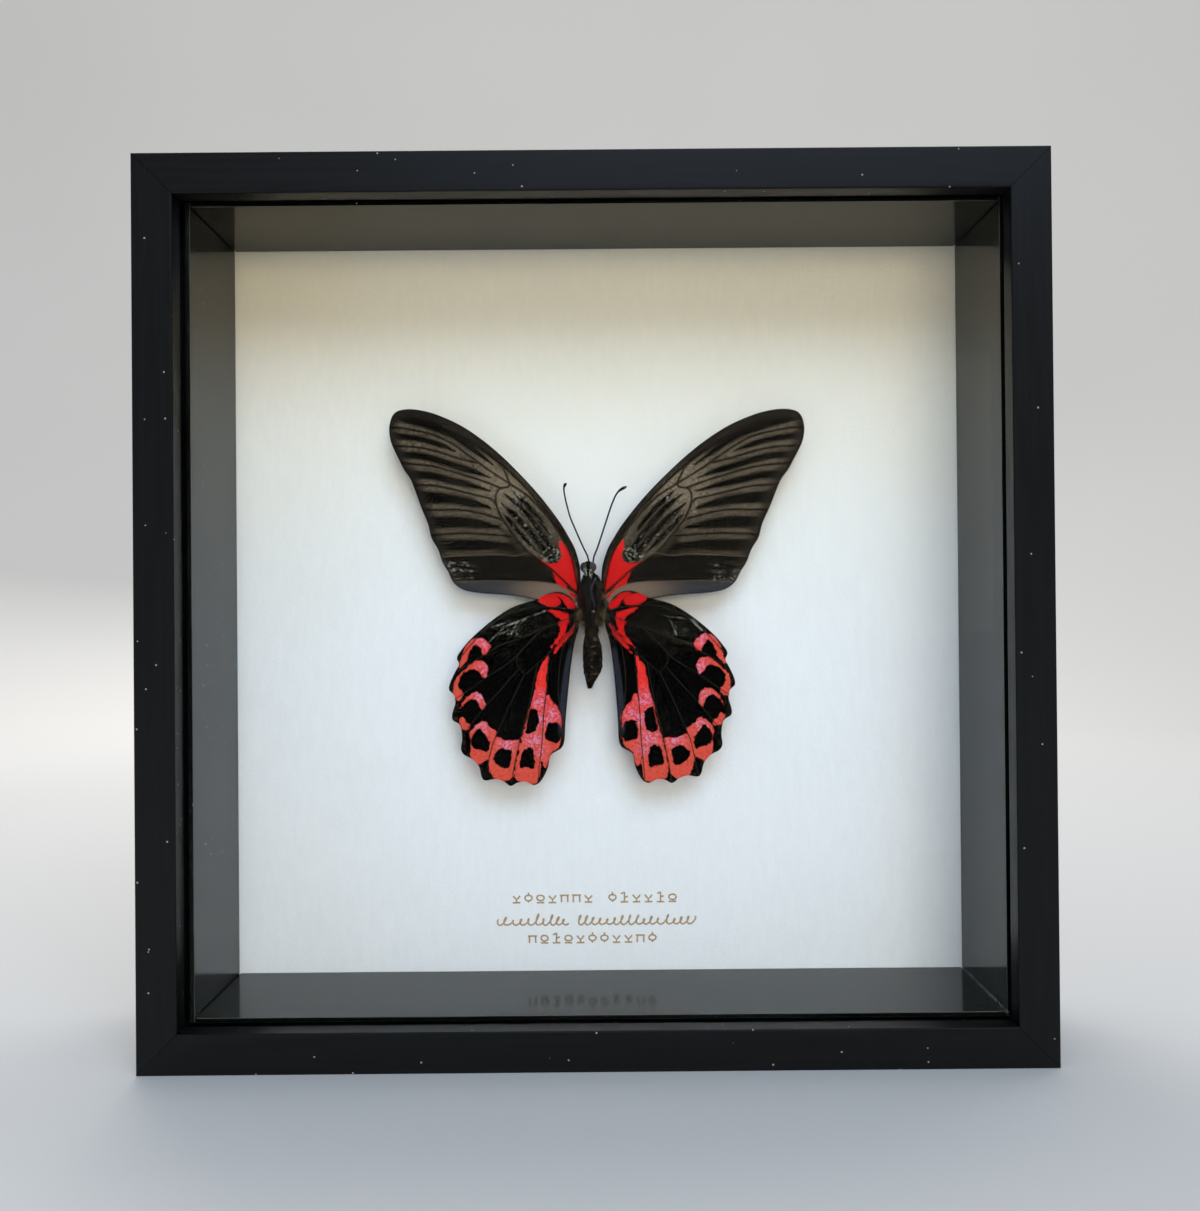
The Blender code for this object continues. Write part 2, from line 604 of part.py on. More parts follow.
def make_specimen():
    make_body()
    sides = (("left", -1, AS_DRAWN, AS_DRAWN), ("right", 1, RIGHT_FOREWING, RIGHT_HINDWING))
    for word, side, fore, hind in sides:
        make_wing(f"forewing_{word}", FOREWING, side, fore, FOREWING_DEPTH, FOREWING_RAKE, WING_DARK)
        make_wing(f"hindwing_{word}", HINDWING, side, hind, HINDWING_DEPTH, 0, WING_BLACK)
    make_antenna("antenna_left", LEFT_ANTENNA)
    make_antenna("antenna_right", RIGHT_ANTENNA)
    make_pin()


for old in list(bpy.data.objects):
    bpy.data.objects.remove(old)
PARTS = collection("framed_butterfly")
CUTTERS = collection("cutters")
make_frame()
make_specimen()
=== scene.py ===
# %% [markdown]
# # A framed butterfly, dressed for its portrait
#
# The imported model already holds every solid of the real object: four mitred rails, a pane of glass,
# spacer walls, a white card, the back's hardware and the pinned butterfly. This lesson loads those
# solids, keeps the ones whose shape is already right, and makes finer pieces for the others.

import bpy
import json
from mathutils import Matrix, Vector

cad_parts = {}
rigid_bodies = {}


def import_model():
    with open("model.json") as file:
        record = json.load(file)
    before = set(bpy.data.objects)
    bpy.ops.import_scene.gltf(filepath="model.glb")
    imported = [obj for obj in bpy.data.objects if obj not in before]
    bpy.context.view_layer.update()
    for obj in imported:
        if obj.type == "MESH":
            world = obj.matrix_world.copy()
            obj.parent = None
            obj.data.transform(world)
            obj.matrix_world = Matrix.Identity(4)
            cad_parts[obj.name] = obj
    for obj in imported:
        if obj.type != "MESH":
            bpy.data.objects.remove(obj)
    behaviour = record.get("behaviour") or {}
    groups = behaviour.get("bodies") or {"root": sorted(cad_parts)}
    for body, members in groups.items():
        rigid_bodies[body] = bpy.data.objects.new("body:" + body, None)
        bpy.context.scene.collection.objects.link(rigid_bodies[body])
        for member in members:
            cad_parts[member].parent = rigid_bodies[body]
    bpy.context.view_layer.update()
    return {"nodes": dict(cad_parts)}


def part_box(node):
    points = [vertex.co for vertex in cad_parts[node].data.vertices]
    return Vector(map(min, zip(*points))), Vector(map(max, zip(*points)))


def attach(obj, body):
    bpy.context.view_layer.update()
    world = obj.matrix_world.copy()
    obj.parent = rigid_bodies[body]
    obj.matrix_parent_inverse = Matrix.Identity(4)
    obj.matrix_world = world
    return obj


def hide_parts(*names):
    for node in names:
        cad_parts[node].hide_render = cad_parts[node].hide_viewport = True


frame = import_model()

import json
from math import cos, pi, radians, sin

import bmesh
import bpy
import numpy as np
from mathutils import Matrix, Vector

MM = 0.001
print("solids loaded:", len(frame["nodes"]))

# %% [markdown]
# Blender's operators act on whatever is selected, so a few short helpers select one thing at a time
# and open it for editing with chosen faces, edges or corners. A new block and a copy each get a mesh
# of their own, with the place, the turn and the size written into it.

# %% Helpers for selecting and editing
def only(*objects):
    """Selects these objects and nothing else."""
    bpy.ops.object.select_all(action="DESELECT")
    for obj in objects:
        obj.select_set(True)
    bpy.context.view_layer.objects.active = objects[0]


def edit(obj, choose=None, kind="FACE"):
    """Opens edit mode with the chosen faces, edges or corners selected, or with all of them."""
    only(obj)
    bpy.ops.object.mode_set(mode="EDIT")
    bpy.ops.mesh.select_mode(type=kind)
    bpy.ops.mesh.select_all(action="SELECT" if choose is None else "DESELECT")
    if choose:
        work = bmesh.from_edit_mesh(obj.data)
        for item in {"FACE": work.faces, "EDGE": work.edges, "VERT": work.verts}[kind]:
            if choose(item):
                item.select_set(True)
        bmesh.update_edit_mesh(obj.data)


def done():
    bpy.ops.object.mode_set(mode="OBJECT")


def settle(obj, name=None):
    """Writes the object's place, turn and size into its mesh."""
    only(obj)
    bpy.ops.object.transform_apply(location=True, rotation=True, scale=True)
    if name:
        obj.name = obj.data.name = name
    return obj


def block(name, size, centre):
    """A cube drawn out to a size at a place, as a start for a piece."""
    bpy.ops.object.select_all(action="DESELECT")
    bpy.ops.mesh.primitive_cube_add(size=1, location=centre)
    bpy.context.object.scale = size
    return settle(bpy.context.object, name)


def copy_of(obj, name, turn=None):
    """A copy with a mesh of its own, turned if a matrix is given."""
    made = obj.copy()
    made.data = obj.data.copy()
    bpy.context.scene.collection.objects.link(made)
    if turn:
        made.data.transform(turn)
    made.name = made.data.name = name
    return made


print("modelling helpers ready:", only.__name__, edit.__name__, settle.__name__)

# %% [markdown]
# A finished piece has its modifiers applied and its edges eased. It rides on the object's only body
# and stands for its plain solids. A solid whose shape is already right only gets a finish.

# %% Helpers for finishing a piece
def apply_modifiers(obj):
    """Applies the modifiers in their order, so that the mesh is what is seen."""
    only(obj)
    for step in list(obj.modifiers):
        bpy.ops.object.modifier_apply(modifier=step.name)


def keep_flats_flat(obj):
    """Turns the normals at an eased edge to the big faces beside it, so that these still look flat."""
    level = obj.modifiers.new("flat_faces", "WEIGHTED_NORMAL")
    level.weight, level.keep_sharp = 100, True
    apply_modifiers(obj)


def joined(name, pieces):
    """Several meshes as one piece."""
    only(*pieces)
    if len(pieces) > 1:
        bpy.ops.object.join()
    pieces[0].name = pieces[0].data.name = name
    return pieces[0]


def finish_piece(obj, finish, slot, *nodes, smooth=None, flats=False):
    """Gives a piece its finish, puts it on the object and hides the plain solids it stands for."""
    if smooth:
        only(obj)
        bpy.ops.object.shade_smooth_by_angle(angle=radians(smooth))
    if flats:
        keep_flats_flat(obj)
    obj.data.materials.clear()
    obj.data.materials.append(finish)
    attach(obj, "root")
    if nodes:
        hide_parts(*nodes)
    count = sum(len(face.vertices) - 2 for face in obj.data.polygons)
    print(f"{obj.name}: {count} triangles")
    return obj


def repaint(finish, *nodes):
    """Puts a finish on solids whose shape is kept."""
    for node in nodes:
        for slot in frame["nodes"][node].material_slots:
            slot.material = finish
    print(f"{finish.name}: on {len(nodes)} kept solids")


print("finishing helpers ready:", finish_piece.__name__, repaint.__name__)

# %% [markdown]
# The photo was taken from straight in front, at the height of the frame's middle, a little more than
# its own width away. Its camera was found from the eight corners of the frame's face, so the render
# and the photo can be laid over each other.

# %% Camera
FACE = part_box("rail_top")[0].y             # front face of the rails
WALL_DEPTH = 55 * MM                       # depth of the rails
OUTER = 250 * MM
CAMERA_DISTANCE = 300 * MM
CAMERA_AT = Vector((1.2 * MM, FACE - CAMERA_DISTANCE, 124.5 * MM))
CAMERA_TILT = (0.307, 0.482, -0.042)       # degrees of pitch, roll and yaw
FOCAL_SHARE = 1108.8 / 1211                # focal length against the picture's long side

camera = bpy.data.objects.new("camera", bpy.data.cameras.new("camera"))
bpy.context.scene.collection.objects.link(camera)
camera.data.sensor_width = 36
camera.data.lens = FOCAL_SHARE * camera.data.sensor_width
camera.data.clip_start = 0.01
pitch, roll, yaw = (radians(angle) for angle in CAMERA_TILT)
camera.matrix_world = (
    Matrix.Translation(CAMERA_AT) @ Matrix.Rotation(yaw, 4, "Z") @ Matrix.Rotation(roll, 4, "Y")
    @ Matrix.Rotation(pitch, 4, "X") @ Matrix.Rotation(pi / 2, 4, "X")
)
bpy.context.scene.camera = camera
bpy.context.scene.view_settings.view_transform = "Standard"
print("camera at", [round(value, 4) for value in CAMERA_AT])

# %% [markdown]
# ## Finishes
#
# A finish is a small network of nodes. A few helpers keep the networks short: one adds a node and
# wires its inputs, some do one step of arithmetic, some lay a colour over another, and one turns a
# range of values into a soft step.

# %% Nodes, sums and colours
def add(tree, kind, inputs=None, **settings):
    """Adds a node. An input is a plain value, or another node's socket to wire it to."""
    node = tree.nodes.new("ShaderNode" + kind)
    for key, value in settings.items():
        setattr(node, key, value)
    for key, value in (inputs or {}).items():
        if isinstance(value, bpy.types.NodeSocket):
            tree.links.new(value, node.inputs[key])
        else:
            node.inputs[key].default_value = value
    return node


def sums(tree, operation, *values, clamp=False):
    """One step of arithmetic."""
    return add(tree, "Math", dict(enumerate(values)), operation=operation, use_clamp=clamp).outputs[0]


def plus(tree, first, second):
    return sums(tree, "ADD", first, second)


def less(tree, first, second):
    return sums(tree, "SUBTRACT", first, second)


def times(tree, first, second, clamp=False):
    return sums(tree, "MULTIPLY", first, second, clamp=clamp)


def weighed(tree, first, first_share, second, second_share):
    """Two values, each by its share, added up."""
    return plus(tree, times(tree, first, first_share), times(tree, second, second_share))


def colour(value):
    """A plain colour gets its fourth number; a socket and a plain number stay as they are."""
    return (*value, 1) if isinstance(value, tuple) else value


def mixed(tree, share, first, second):
    """The first colour, with a share of the second over it."""
    inputs = {0: share, 6: colour(first), 7: colour(second)}
    return add(tree, "Mix", inputs, data_type="RGBA").outputs[2]


def over(tree, base, tint, mask, share):
    """A tint laid over the base where the mask is, at most by this share."""
    return mixed(tree, times(tree, mask, share), base, tint)


def step(tree, value, low, high):
    """Rises softly from 0 at low to 1 at high; it falls if high is under low."""
    flip = low > high
    low, high = min(low, high), max(low, high)
    inputs = {0: value, 1: low, 2: high, 3: 1.0 if flip else 0.0, 4: 0.0 if flip else 1.0}
    return add(tree, "MapRange", inputs, interpolation_type="SMOOTHSTEP").outputs[0]


def noise(tree, vector, scale, detail=3.0, roughness=0.55):
    """Soft noise about 0.5; scale counts its patches in a metre."""
    inputs = {"Vector": vector, "Scale": scale, "Detail": detail, "Roughness": roughness}
    return add(tree, "TexNoise", inputs).outputs[0]


def where(tree, stretch=(1, 1, 1)):
    """The place on the object, squeezed along an axis so that patterns on it draw out."""
    place = add(tree, "TexCoord").outputs["Object"]
    return add(tree, "Mapping", {"Vector": place, "Scale": stretch}).outputs[0]


def attribute(tree, name):
    """A number that was worked out for each corner of the mesh."""
    return add(tree, "Attribute", attribute_name=name).outputs["Fac"]


print("node helpers ready:", add.__name__, weighed.__name__, mixed.__name__, step.__name__)

# %% [markdown]
# A finish starts with the numbers that are the same all over it. What varies is wired in: a colour, a
# roughness and a height. Effects that several finishes share are node groups, which give out only
# masks, values and heights.

# %% Finishes and node groups
def bumped(tree, shader, height, depth, strength=1.0):
    """Raises the surface's light and shade by a height, to a depth in metres."""
    inputs = {"Height": height, "Distance": depth, "Strength": strength}
    tree.links.new(add(tree, "Bump", inputs).outputs[0], shader.inputs["Normal"])


def paint(tree, shader, base):
    """Wires a colour that varies to the finish."""
    tree.links.new(base, shader.inputs["Base Color"])


def roughen(tree, shader, value, smooth, rough, low=0.0, high=1.0):
    """Roughness from smooth to rough, as the value goes from low to high."""
    inputs = {0: value, 1: low, 2: high, 3: smooth, 4: rough}
    tree.links.new(add(tree, "MapRange", inputs).outputs[0], shader.inputs["Roughness"])


def new_finish(name, **numbers):
    """A finish with the numbers that are the same all over it; gives its tree and shader too."""
    made = bpy.data.materials.new(name)
    made.use_nodes = True
    shader = made.node_tree.nodes["Principled BSDF"]
    for key, value in numbers.items():
        shader.inputs[key.replace("_", " ")].default_value = colour(value)
    return made, made.node_tree, shader


def new_group(name, inputs, outputs):
    """An empty node group with number or vector inputs and number outputs."""
    made = bpy.data.node_groups.new(name, "ShaderNodeTree")
    for key, value in inputs.items():
        kind = "NodeSocketVector" if value is None else "NodeSocketFloat"
        socket = made.interface.new_socket(key, in_out="INPUT", socket_type=kind)
        if value is not None:
            socket.default_value = value
    for key in outputs:
        made.interface.new_socket(key, in_out="OUTPUT", socket_type="NodeSocketFloat")
    return made, made.nodes.new("NodeGroupInput"), made.nodes.new("NodeGroupOutput")


def use(tree, group, **inputs):
    """Places a node group in a finish and gives its outputs."""
    node = tree.nodes.new("ShaderNodeGroup")
    node.node_tree = group
    for key, value in inputs.items():
        key = key.replace("_", " ")
        if isinstance(value, bpy.types.NodeSocket):
            tree.links.new(value, node.inputs[key])
        else:
            node.inputs[key].default_value = value
    return node.outputs


print("finish helpers ready:", new_finish.__name__, new_group.__name__, use.__name__)

# %% [markdown]
# Lacquer is never quite flat: it has a faint orange peel, hairline polishing streaks along the wood
# and a few specks of dust. Drawn steel has streaks as well, so the streaks are a group, and the
# caller stretches the place along the piece before it hands it in. The third group is the grain of
# tiny scales, each with a tone of its own, which the wings and the body share.

# %% Shared effects: streaks, specks and scales
streaks, given, out = new_group("long_streaks", {"Vector": None, "Fineness": 900.0}, ["Mask", "Height"])
place, fineness = given.outputs["Vector"], given.outputs["Fineness"]
broad = noise(streaks, place, fineness, 2.0)
fine = noise(streaks, place, times(streaks, fineness, 4.3), 0.0)
streaks.links.new(weighed(streaks, broad, 0.6, fine, 0.4), out.inputs["Height"])
streaks.links.new(step(streaks, broad, 0.42, 0.62), out.inputs["Mask"])

specks, given, out = new_group("dust_specks", {"Vector": None, "Spacing": 300.0, "Size": 0.05}, ["Mask"])
place, spacing = given.outputs["Vector"], given.outputs["Spacing"]
cells = add(specks, "TexVoronoi", {"Vector": place, "Scale": spacing})
chance = add(specks, "SeparateColor", {0: cells.outputs["Color"]}).outputs[0]
rare = sums(specks, "GREATER_THAN", chance, 0.8)
near = sums(specks, "LESS_THAN", cells.outputs["Distance"], given.outputs["Size"])
specks.links.new(times(specks, rare, near), out.inputs["Mask"])

SCALE_OUTPUTS = ["Speckle", "Grains", "Height"]
scales, given, out = new_group("wing_scales", {"Vector": None, "Grain": 4200.0}, SCALE_OUTPUTS)
place, grain = given.outputs["Vector"], given.outputs["Grain"]
rows = add(scales, "TexVoronoi", {"Vector": place, "Scale": grain})
clumps = noise(scales, place, times(scales, grain, 0.42), 2.0, 0.7)
tone = add(scales, "SeparateColor", {0: rows.outputs["Color"]}).outputs[0]
scales.links.new(weighed(scales, tone, 0.45, clumps, 0.55), out.inputs["Speckle"])
scales.links.new(tone, out.inputs["Grains"])
scales.links.new(less(scales, 1.0, rows.outputs["Distance"]), out.inputs["Height"])
print("shared effects:", streaks.name, specks.name, scales.name)

# %% [markdown]
# ### The frame's finishes
# The rails are black satin lacquer over wood. A little dust lies on them, as on any frame that has
# hung for a while, so a few pale specks are mixed into the black.

# %% Lacquer
LACQUER_BLACK, LACQUER_RUBBED = (0.0050, 0.0052, 0.0058), (0.0085, 0.0085, 0.009)
LACQUER_DUST = (0.34, 0.33, 0.31)


def lacquer(name, stretch):
    made, tree, shader = new_finish(name, IOR=1.5, Specular_IOR_Level=0.17)
    drawn = use(tree, streaks, Vector=where(tree, stretch), Fineness=700.0)
    dust = use(tree, specks, Vector=where(tree), Spacing=380.0, Size=0.1)["Mask"]
    peel = noise(tree, where(tree), 900.0, 0.0)
    base = over(tree, LACQUER_BLACK, LACQUER_RUBBED, drawn["Mask"], 0.35)
    paint(tree, shader, mixed(tree, dust, base, LACQUER_DUST))
    roughen(tree, shader, drawn["Height"], 0.3, 0.4, 0.3, 0.7)
    bumped(tree, shader, weighed(tree, drawn["Height"], 0.6, peel, 0.4), 0.02 * MM, 0.35)
    return made


LACQUER_ALONG_X = lacquer("black_lacquer_across", (0.04, 1, 1))
LACQUER_ALONG_Z = lacquer("black_lacquer_upright", (1, 1, 0.04))
print("lacquers:", LACQUER_ALONG_X.name, LACQUER_ALONG_Z.name)

# %% [markdown]
# The spacer walls are smoother than the rails: at the low angle of the photo they mirror the white
# card, which is why they look grey although they are black. A fine paler line along their front edges
# is a painted highlight, and at the lower right the black of the joint is chipped. Both are masks,
# worked out from the place on the wall.

# %% Gloss black
GLOSS_DARK, GLOSS_LIGHT = (0.002, 0.0032, 0.0028), (0.005, 0.0064, 0.0058)
GLOSS_DUST = (0.26, 0.26, 0.24)
HIGHLIGHT_WIDTH = 0.3 * MM
PAINTED_EDGE_HIGHLIGHT = (0.085, 0.078, 0.062)
SPACER_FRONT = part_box("spacer_top")[0].y
CHIPPED_CORNER = (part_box("spacer_right")[0].x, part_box("spacer_bottom")[1].z)
CHIP_REACH = 0.42 * MM
CHIP_RAGGED = 2.4 * MM                     # how far the chip's outline wanders
CHIP_PALE = (0.20, 0.22, 0.22)
HIGHLIGHT_AND_CHIP_SHARE = 0.8


def gloss_black(name, stretch, level):
    made, tree, shader = new_finish(name, IOR=1.42, Specular_IOR_Level=level)
    place = add(tree, "SeparateXYZ", {0: where(tree)}).outputs
    squares = [sums(tree, "POWER", less(tree, place[axis], middle), 2.0)
               for axis, middle in zip((0, 2), CHIPPED_CORNER)]
    gap = sums(tree, "POWER", plus(tree, *squares), 0.5)
    ragged = times(tree, less(tree, noise(tree, where(tree), 700.0, 1.0), 0.5), CHIP_RAGGED)
    chipped = step(tree, plus(tree, gap, ragged), CHIP_REACH, 0.5 * CHIP_REACH)
    near_front = step(tree, place[1], SPACER_FRONT + HIGHLIGHT_WIDTH, SPACER_FRONT + 0.6 * HIGHLIGHT_WIDTH)
    off_front = sums(tree, "GREATER_THAN", place[1], SPACER_FRONT + 0.1 * HIGHLIGHT_WIDTH)
    drawn = use(tree, streaks, Vector=where(tree, stretch), Fineness=500.0)
    dust = use(tree, specks, Vector=where(tree), Spacing=260.0, Size=0.06)["Mask"]
    base = mixed(tree, drawn["Mask"], GLOSS_DARK, GLOSS_LIGHT)
    # painted highlight: a fine paler line along each wall's front edge
    base = over(tree, base, PAINTED_EDGE_HIGHLIGHT, times(tree, near_front, off_front), HIGHLIGHT_AND_CHIP_SHARE)
    base = over(tree, base, CHIP_PALE, chipped, HIGHLIGHT_AND_CHIP_SHARE)
    paint(tree, shader, mixed(tree, dust, base, GLOSS_DUST))
    roughen(tree, shader, drawn["Height"], 0.09, 0.16, 0.3, 0.7)
    bumped(tree, shader, drawn["Height"], 0.015 * MM, 0.3)
    return made


GLOSS_ALONG_X = gloss_black("gloss_black_across", (0.03, 1, 1), 0.36)
GLOSS_ALONG_Z = gloss_black("gloss_black_upright", (1, 1, 0.03), 0.42)
print("chipped corner at", [round(value / MM, 1) for value in CHIPPED_CORNER], "mm")

# %% [markdown]
# Real glass casts hardly any shadow. The pane therefore lets light pass straight through for shadow
# rays, so the card behind it is lit evenly, and bends and mirrors it for all others. The card is a cooler
# white with the tooth and the fibres of thick paper, and it takes a painted warm shade towards its top.

# %% Glass and card
GLASS, tree, shader = new_finish(
    "clear_pane", Base_Color=(0.97, 0.99, 0.98), Roughness=0.0, IOR=1.08, Transmission_Weight=1.0)
passing = add(tree, "BsdfTransparent", {"Color": (0.97, 0.98, 0.975, 1)})
shadow = add(tree, "LightPath").outputs["Is Shadow Ray"]
both = add(tree, "MixShader", {0: shadow, 1: shader.outputs[0], 2: passing.outputs[0]})
tree.links.new(both.outputs[0], tree.nodes["Material Output"].inputs["Surface"])

COOL_WHITE, PAINTED_WARM_SHADE, PAPER_GREY = (0.80, 0.80, 0.82), (0.84, 0.76, 0.62), (0.58, 0.58, 0.57)
PAINTED_SHADE_FROM, PAINTED_SHADE_FULL = 0.11, 0.25        # heights in metres
CARD, tree, shader = new_finish("white_card_stock", Roughness=0.92, Specular_IOR_Level=0.25)
tooth = noise(tree, where(tree), 1150.0, 2.0, 0.7)
fibres = noise(tree, where(tree, (1, 1, 0.3)), 420.0, 1.0)
mottle = noise(tree, where(tree), 30.0, 1.0)
height = add(tree, "SeparateXYZ", {0: where(tree)}).outputs[2]
# painted warm shade: the card grows creamier towards its top
painted_top_shade = step(tree, plus(tree, height, times(tree, mottle, 0.02)), PAINTED_SHADE_FROM, PAINTED_SHADE_FULL)
grey = step(tree, weighed(tree, tooth, 0.6, fibres, 0.4), 0.36, 0.64)
grey = weighed(tree, grey, 0.14, step(tree, mottle, 0.3, 0.7), 0.05)
paint(tree, shader, mixed(tree, grey, mixed(tree, painted_top_shade, COOL_WHITE, PAINTED_WARM_SHADE), PAPER_GREY))
bumped(tree, shader, tooth, 0.09 * MM, 0.8)
print("sheets:", GLASS.name, CARD.name)

# %% [markdown]
# The back shows brown hardboard, pressed from wood fibres of many tones, and thin stamped steel that
# has dulled in places.

# %% Board and steel
FIBRE_DARK, FIBRE_LIGHT, FIBRE_CLOUD = (0.16, 0.085, 0.04), (0.34, 0.21, 0.11), (0.22, 0.13, 0.07)
BOARD, tree, shader = new_finish("brown_hardboard", Roughness=0.8, Specular_IOR_Level=0.3)
flecks = noise(tree, where(tree), 1200.0, 6.0, 0.75)
clouds = noise(tree, where(tree), 28.0, 4.0)
base = mixed(tree, step(tree, flecks, 0.35, 0.65), FIBRE_DARK, FIBRE_LIGHT)
paint(tree, shader, over(tree, base, FIBRE_CLOUD, clouds, 0.35))
bumped(tree, shader, flecks, 0.08 * MM, 0.5)

BRIGHT_STEEL, TARNISH = (0.60, 0.59, 0.57), (0.36, 0.33, 0.29)
STEEL, tree, shader = new_finish("stamped_steel", Metallic=1.0)
drawn = use(tree, streaks, Vector=where(tree, (0.1, 1, 1)), Fineness=1800.0)
tarnish = step(tree, noise(tree, where(tree), 260.0, 4.0), 0.45, 0.7)
paint(tree, shader, mixed(tree, tarnish, BRIGHT_STEEL, TARNISH))
roughen(tree, shader, drawn["Height"], 0.24, 0.46)
bumped(tree, shader, drawn["Height"], 0.01 * MM, 0.4)
print("back:", BOARD.name, STEEL.name)

# %% [markdown]
# ## The rails
#
# The real frame is a moulding with an L-shaped section: a deep wall behind, and a lip in front that
# covers the edge of the glass. The plain solids keep a gap at each mitre. On the real frame the
# mitres are glued shut and show only as hairlines, so each rail is made again: a block is cut behind
# the lip, the lip is drawn up, the long edges are eased and the ends are cut at 45 degrees.

# %% One rail, copied round the frame
FACE_WIDTH = 11.25 * MM
LIP = 6 * MM
RAIL_WALL = 9.4 * MM
EASE = 0.5 * MM
HAIRLINE = 0.05 * MM                       # half the width of a mitre's joint
BACK = FACE + WALL_DEPTH

rail = block("rail_blank", (OUTER, WALL_DEPTH, RAIL_WALL), (0, FACE + WALL_DEPTH / 2, RAIL_WALL / 2))
edit(rail)
bpy.ops.mesh.bisect(plane_co=(0, FACE + LIP, 0), plane_no=(0, 1, 0))
done()
edit(rail, lambda face: face.normal.z > 0.9 and face.calc_center_median().y < FACE + LIP)
bpy.ops.mesh.extrude_region_move(TRANSFORM_OT_translate={"value": (0, 0, FACE_WIDTH - RAIL_WALL)})
done()
edit(rail, lambda edge: abs((edge.verts[0].co - edge.verts[1].co).normalized().x) > 0.9
     and len(edge.link_faces) == 2 and edge.calc_face_angle_signed() > 1, "EDGE")
bpy.ops.mesh.bevel(offset=EASE, segments=4, affect="EDGES")
done()
for side in (-1, 1):
    across = Vector((side, 0, 1)).normalized()
    corner = Vector((side * OUTER / 2, 0, 0)) - across * HAIRLINE
    edit(rail)
    bpy.ops.mesh.bisect(plane_co=corner, plane_no=across, use_fill=True, clear_outer=True)
    done()
centre = Matrix.Translation((0, 0, OUTER / 2))
for word, turn, finish in (("bottom", 0, LACQUER_ALONG_X), ("left", 90, LACQUER_ALONG_Z),
                           ("top", 180, LACQUER_ALONG_X), ("right", -90, LACQUER_ALONG_Z)):
    swing = centre @ Matrix.Rotation(radians(turn), 4, "Y") @ centre.inverted()
    made = copy_of(rail, f"lacquered_rail_{word}", swing)
    finish_piece(made, finish, "black_lacquered_wood", f"rail_{word}", smooth=50, flats=True)
bpy.data.objects.remove(rail)

# %% [markdown]
# ## Glass, spacer walls, card and back
#
# The pane, the card and the back panel are flat sheets, so their solids stay and only get finishes.
# The spacer walls are thin strips. Their edges catch the light, so they are made again with a fine
# bevel, and they meet at the corners with a joint that shows as a thin line.

# %% Spacer walls and the kept sheets
SPACER_EDGE = 0.2 * MM
for word, finish in (("left", GLOSS_ALONG_Z), ("right", GLOSS_ALONG_Z), ("top", GLOSS_ALONG_X),
                     ("bottom", GLOSS_ALONG_X)):
    low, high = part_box(f"spacer_{word}")
    made = block(f"spacer_strip_{word}", high - low, (low + high) / 2)
    ease = made.modifiers.new("eased_edges", "BEVEL")
    ease.width, ease.segments = SPACER_EDGE, 3
    apply_modifiers(made)
    finish_piece(made, finish, "black_spacer_strip", f"spacer_{word}", smooth=50, flats=True)
repaint(GLASS, "glass_pane")
repaint(CARD, "mount_card")
repaint(BOARD, "back_panel")
repaint(STEEL, *[name for name in frame["nodes"] if name.startswith(("point_", "hanger_"))])

# %% [markdown]
# ## The wings
#
# A butterfly's wing is a dry skin stretched over stiff veins and covered with rows of tiny scales.
# The plain solids have its outline and its bow. Here each wing is a fine grid, cut to the same
# outline, pleated between its veins, with the veins themselves as thin tapering tubes on the side
# that shows. All sizes below are millimetres on the left wing: outwards from the body's axis, and
# up from the wing roots. The right wings are the same ones mirrored, and set a little differently.

# %% Places on the specimen
AXIS_X = -1.2 * MM
ROOT_Z = 128 * MM
WING_BOW, WING_SPAN = 1.3, 64
AS_DRAWN = (1, 0, 0, 0)                    # stretch outwards, slant, rise and shift in millimetres
RIGHT_FOREWING = (1.05, 0.031, -0.014, -0.4)
RIGHT_HINDWING = (1.003, 0.028, 0.02, 0.7)


def on_object(out, up, depth):
    """From millimetres on the specimen to metres on the object; depth is behind the rails' face."""
    out, up = np.asarray(out), np.asarray(up)
    place = np.broadcast_arrays(AXIS_X + out * MM, FACE + depth * MM, ROOT_Z + up * MM)
    return np.stack(place, axis=-1)


def soft_path(knots, closed=False, parts=6):
    """Points on a soft curve that passes through the knots."""
    knots = np.array(knots, float)
    if closed:
        ring = np.vstack([knots[-1:], knots, knots[:2]])
    else:
        ring = np.vstack([2 * knots[0] - knots[1], knots, 2 * knots[-1] - knots[-2]])
    share = np.linspace(0, 1, parts, endpoint=False)[:, None]
    spans = []
    for before, start, end, after in zip(ring, ring[1:], ring[2:], ring[3:]):
        a = 2 * start
        b = end - before
        c = 2 * before - 5 * start + 4 * end - after
        d = 3 * start - before - 3 * end + after
        spans.append(0.5 * (a + b * share + c * share ** 2 + d * share ** 3))
    path = np.vstack(spans)
    return path if closed else np.vstack([path, knots[-1:]])


print("wing roots at", on_object(0, 0, 0).round(4).tolist())

# %% [markdown]
# Marks and pleats are worked out from distances: to a vein, to the margin, or to the edge of a patch.
# The distance to a closed outline is less than 0 inside it.

# %% Distances on a wing
def distance(spots, path, closed=False):
    """How far each spot is from a path, and how far along the path that is, from 0 to 1."""
    ends = np.roll(path, -1, axis=0) if closed else path[1:]
    starts = path if closed else path[:-1]
    best = np.full(len(spots), 1e9)
    along = np.zeros(len(spots))
    for number, (start, end) in enumerate(zip(starts, ends)):
        run = end - start
        share = np.clip(((spots - start) @ run) / max(run @ run, 1e-12), 0, 1)
        gap = np.linalg.norm(spots - start - share[:, None] * run, axis=1)
        closer = gap < best
        best[closer] = gap[closer]
        along[closer] = (number + share[closer]) / len(starts)
    return best, along


def signed_distance(spots, outline):
    """Distance to a closed outline, less than 0 inside it."""
    gap, _ = distance(spots, outline, closed=True)
    inside = np.zeros(len(spots), bool)
    for start, end in zip(outline, np.roll(outline, -1, axis=0)):
        crosses = (start[1] > spots[:, 1]) != (end[1] > spots[:, 1])
        where_x = start[0] + (spots[:, 1] - start[1]) * (end[0] - start[0]) / ((end[1] - start[1]) or 1e-12)
        inside ^= crosses & (spots[:, 0] < where_x)
    return np.where(inside, -gap, gap)


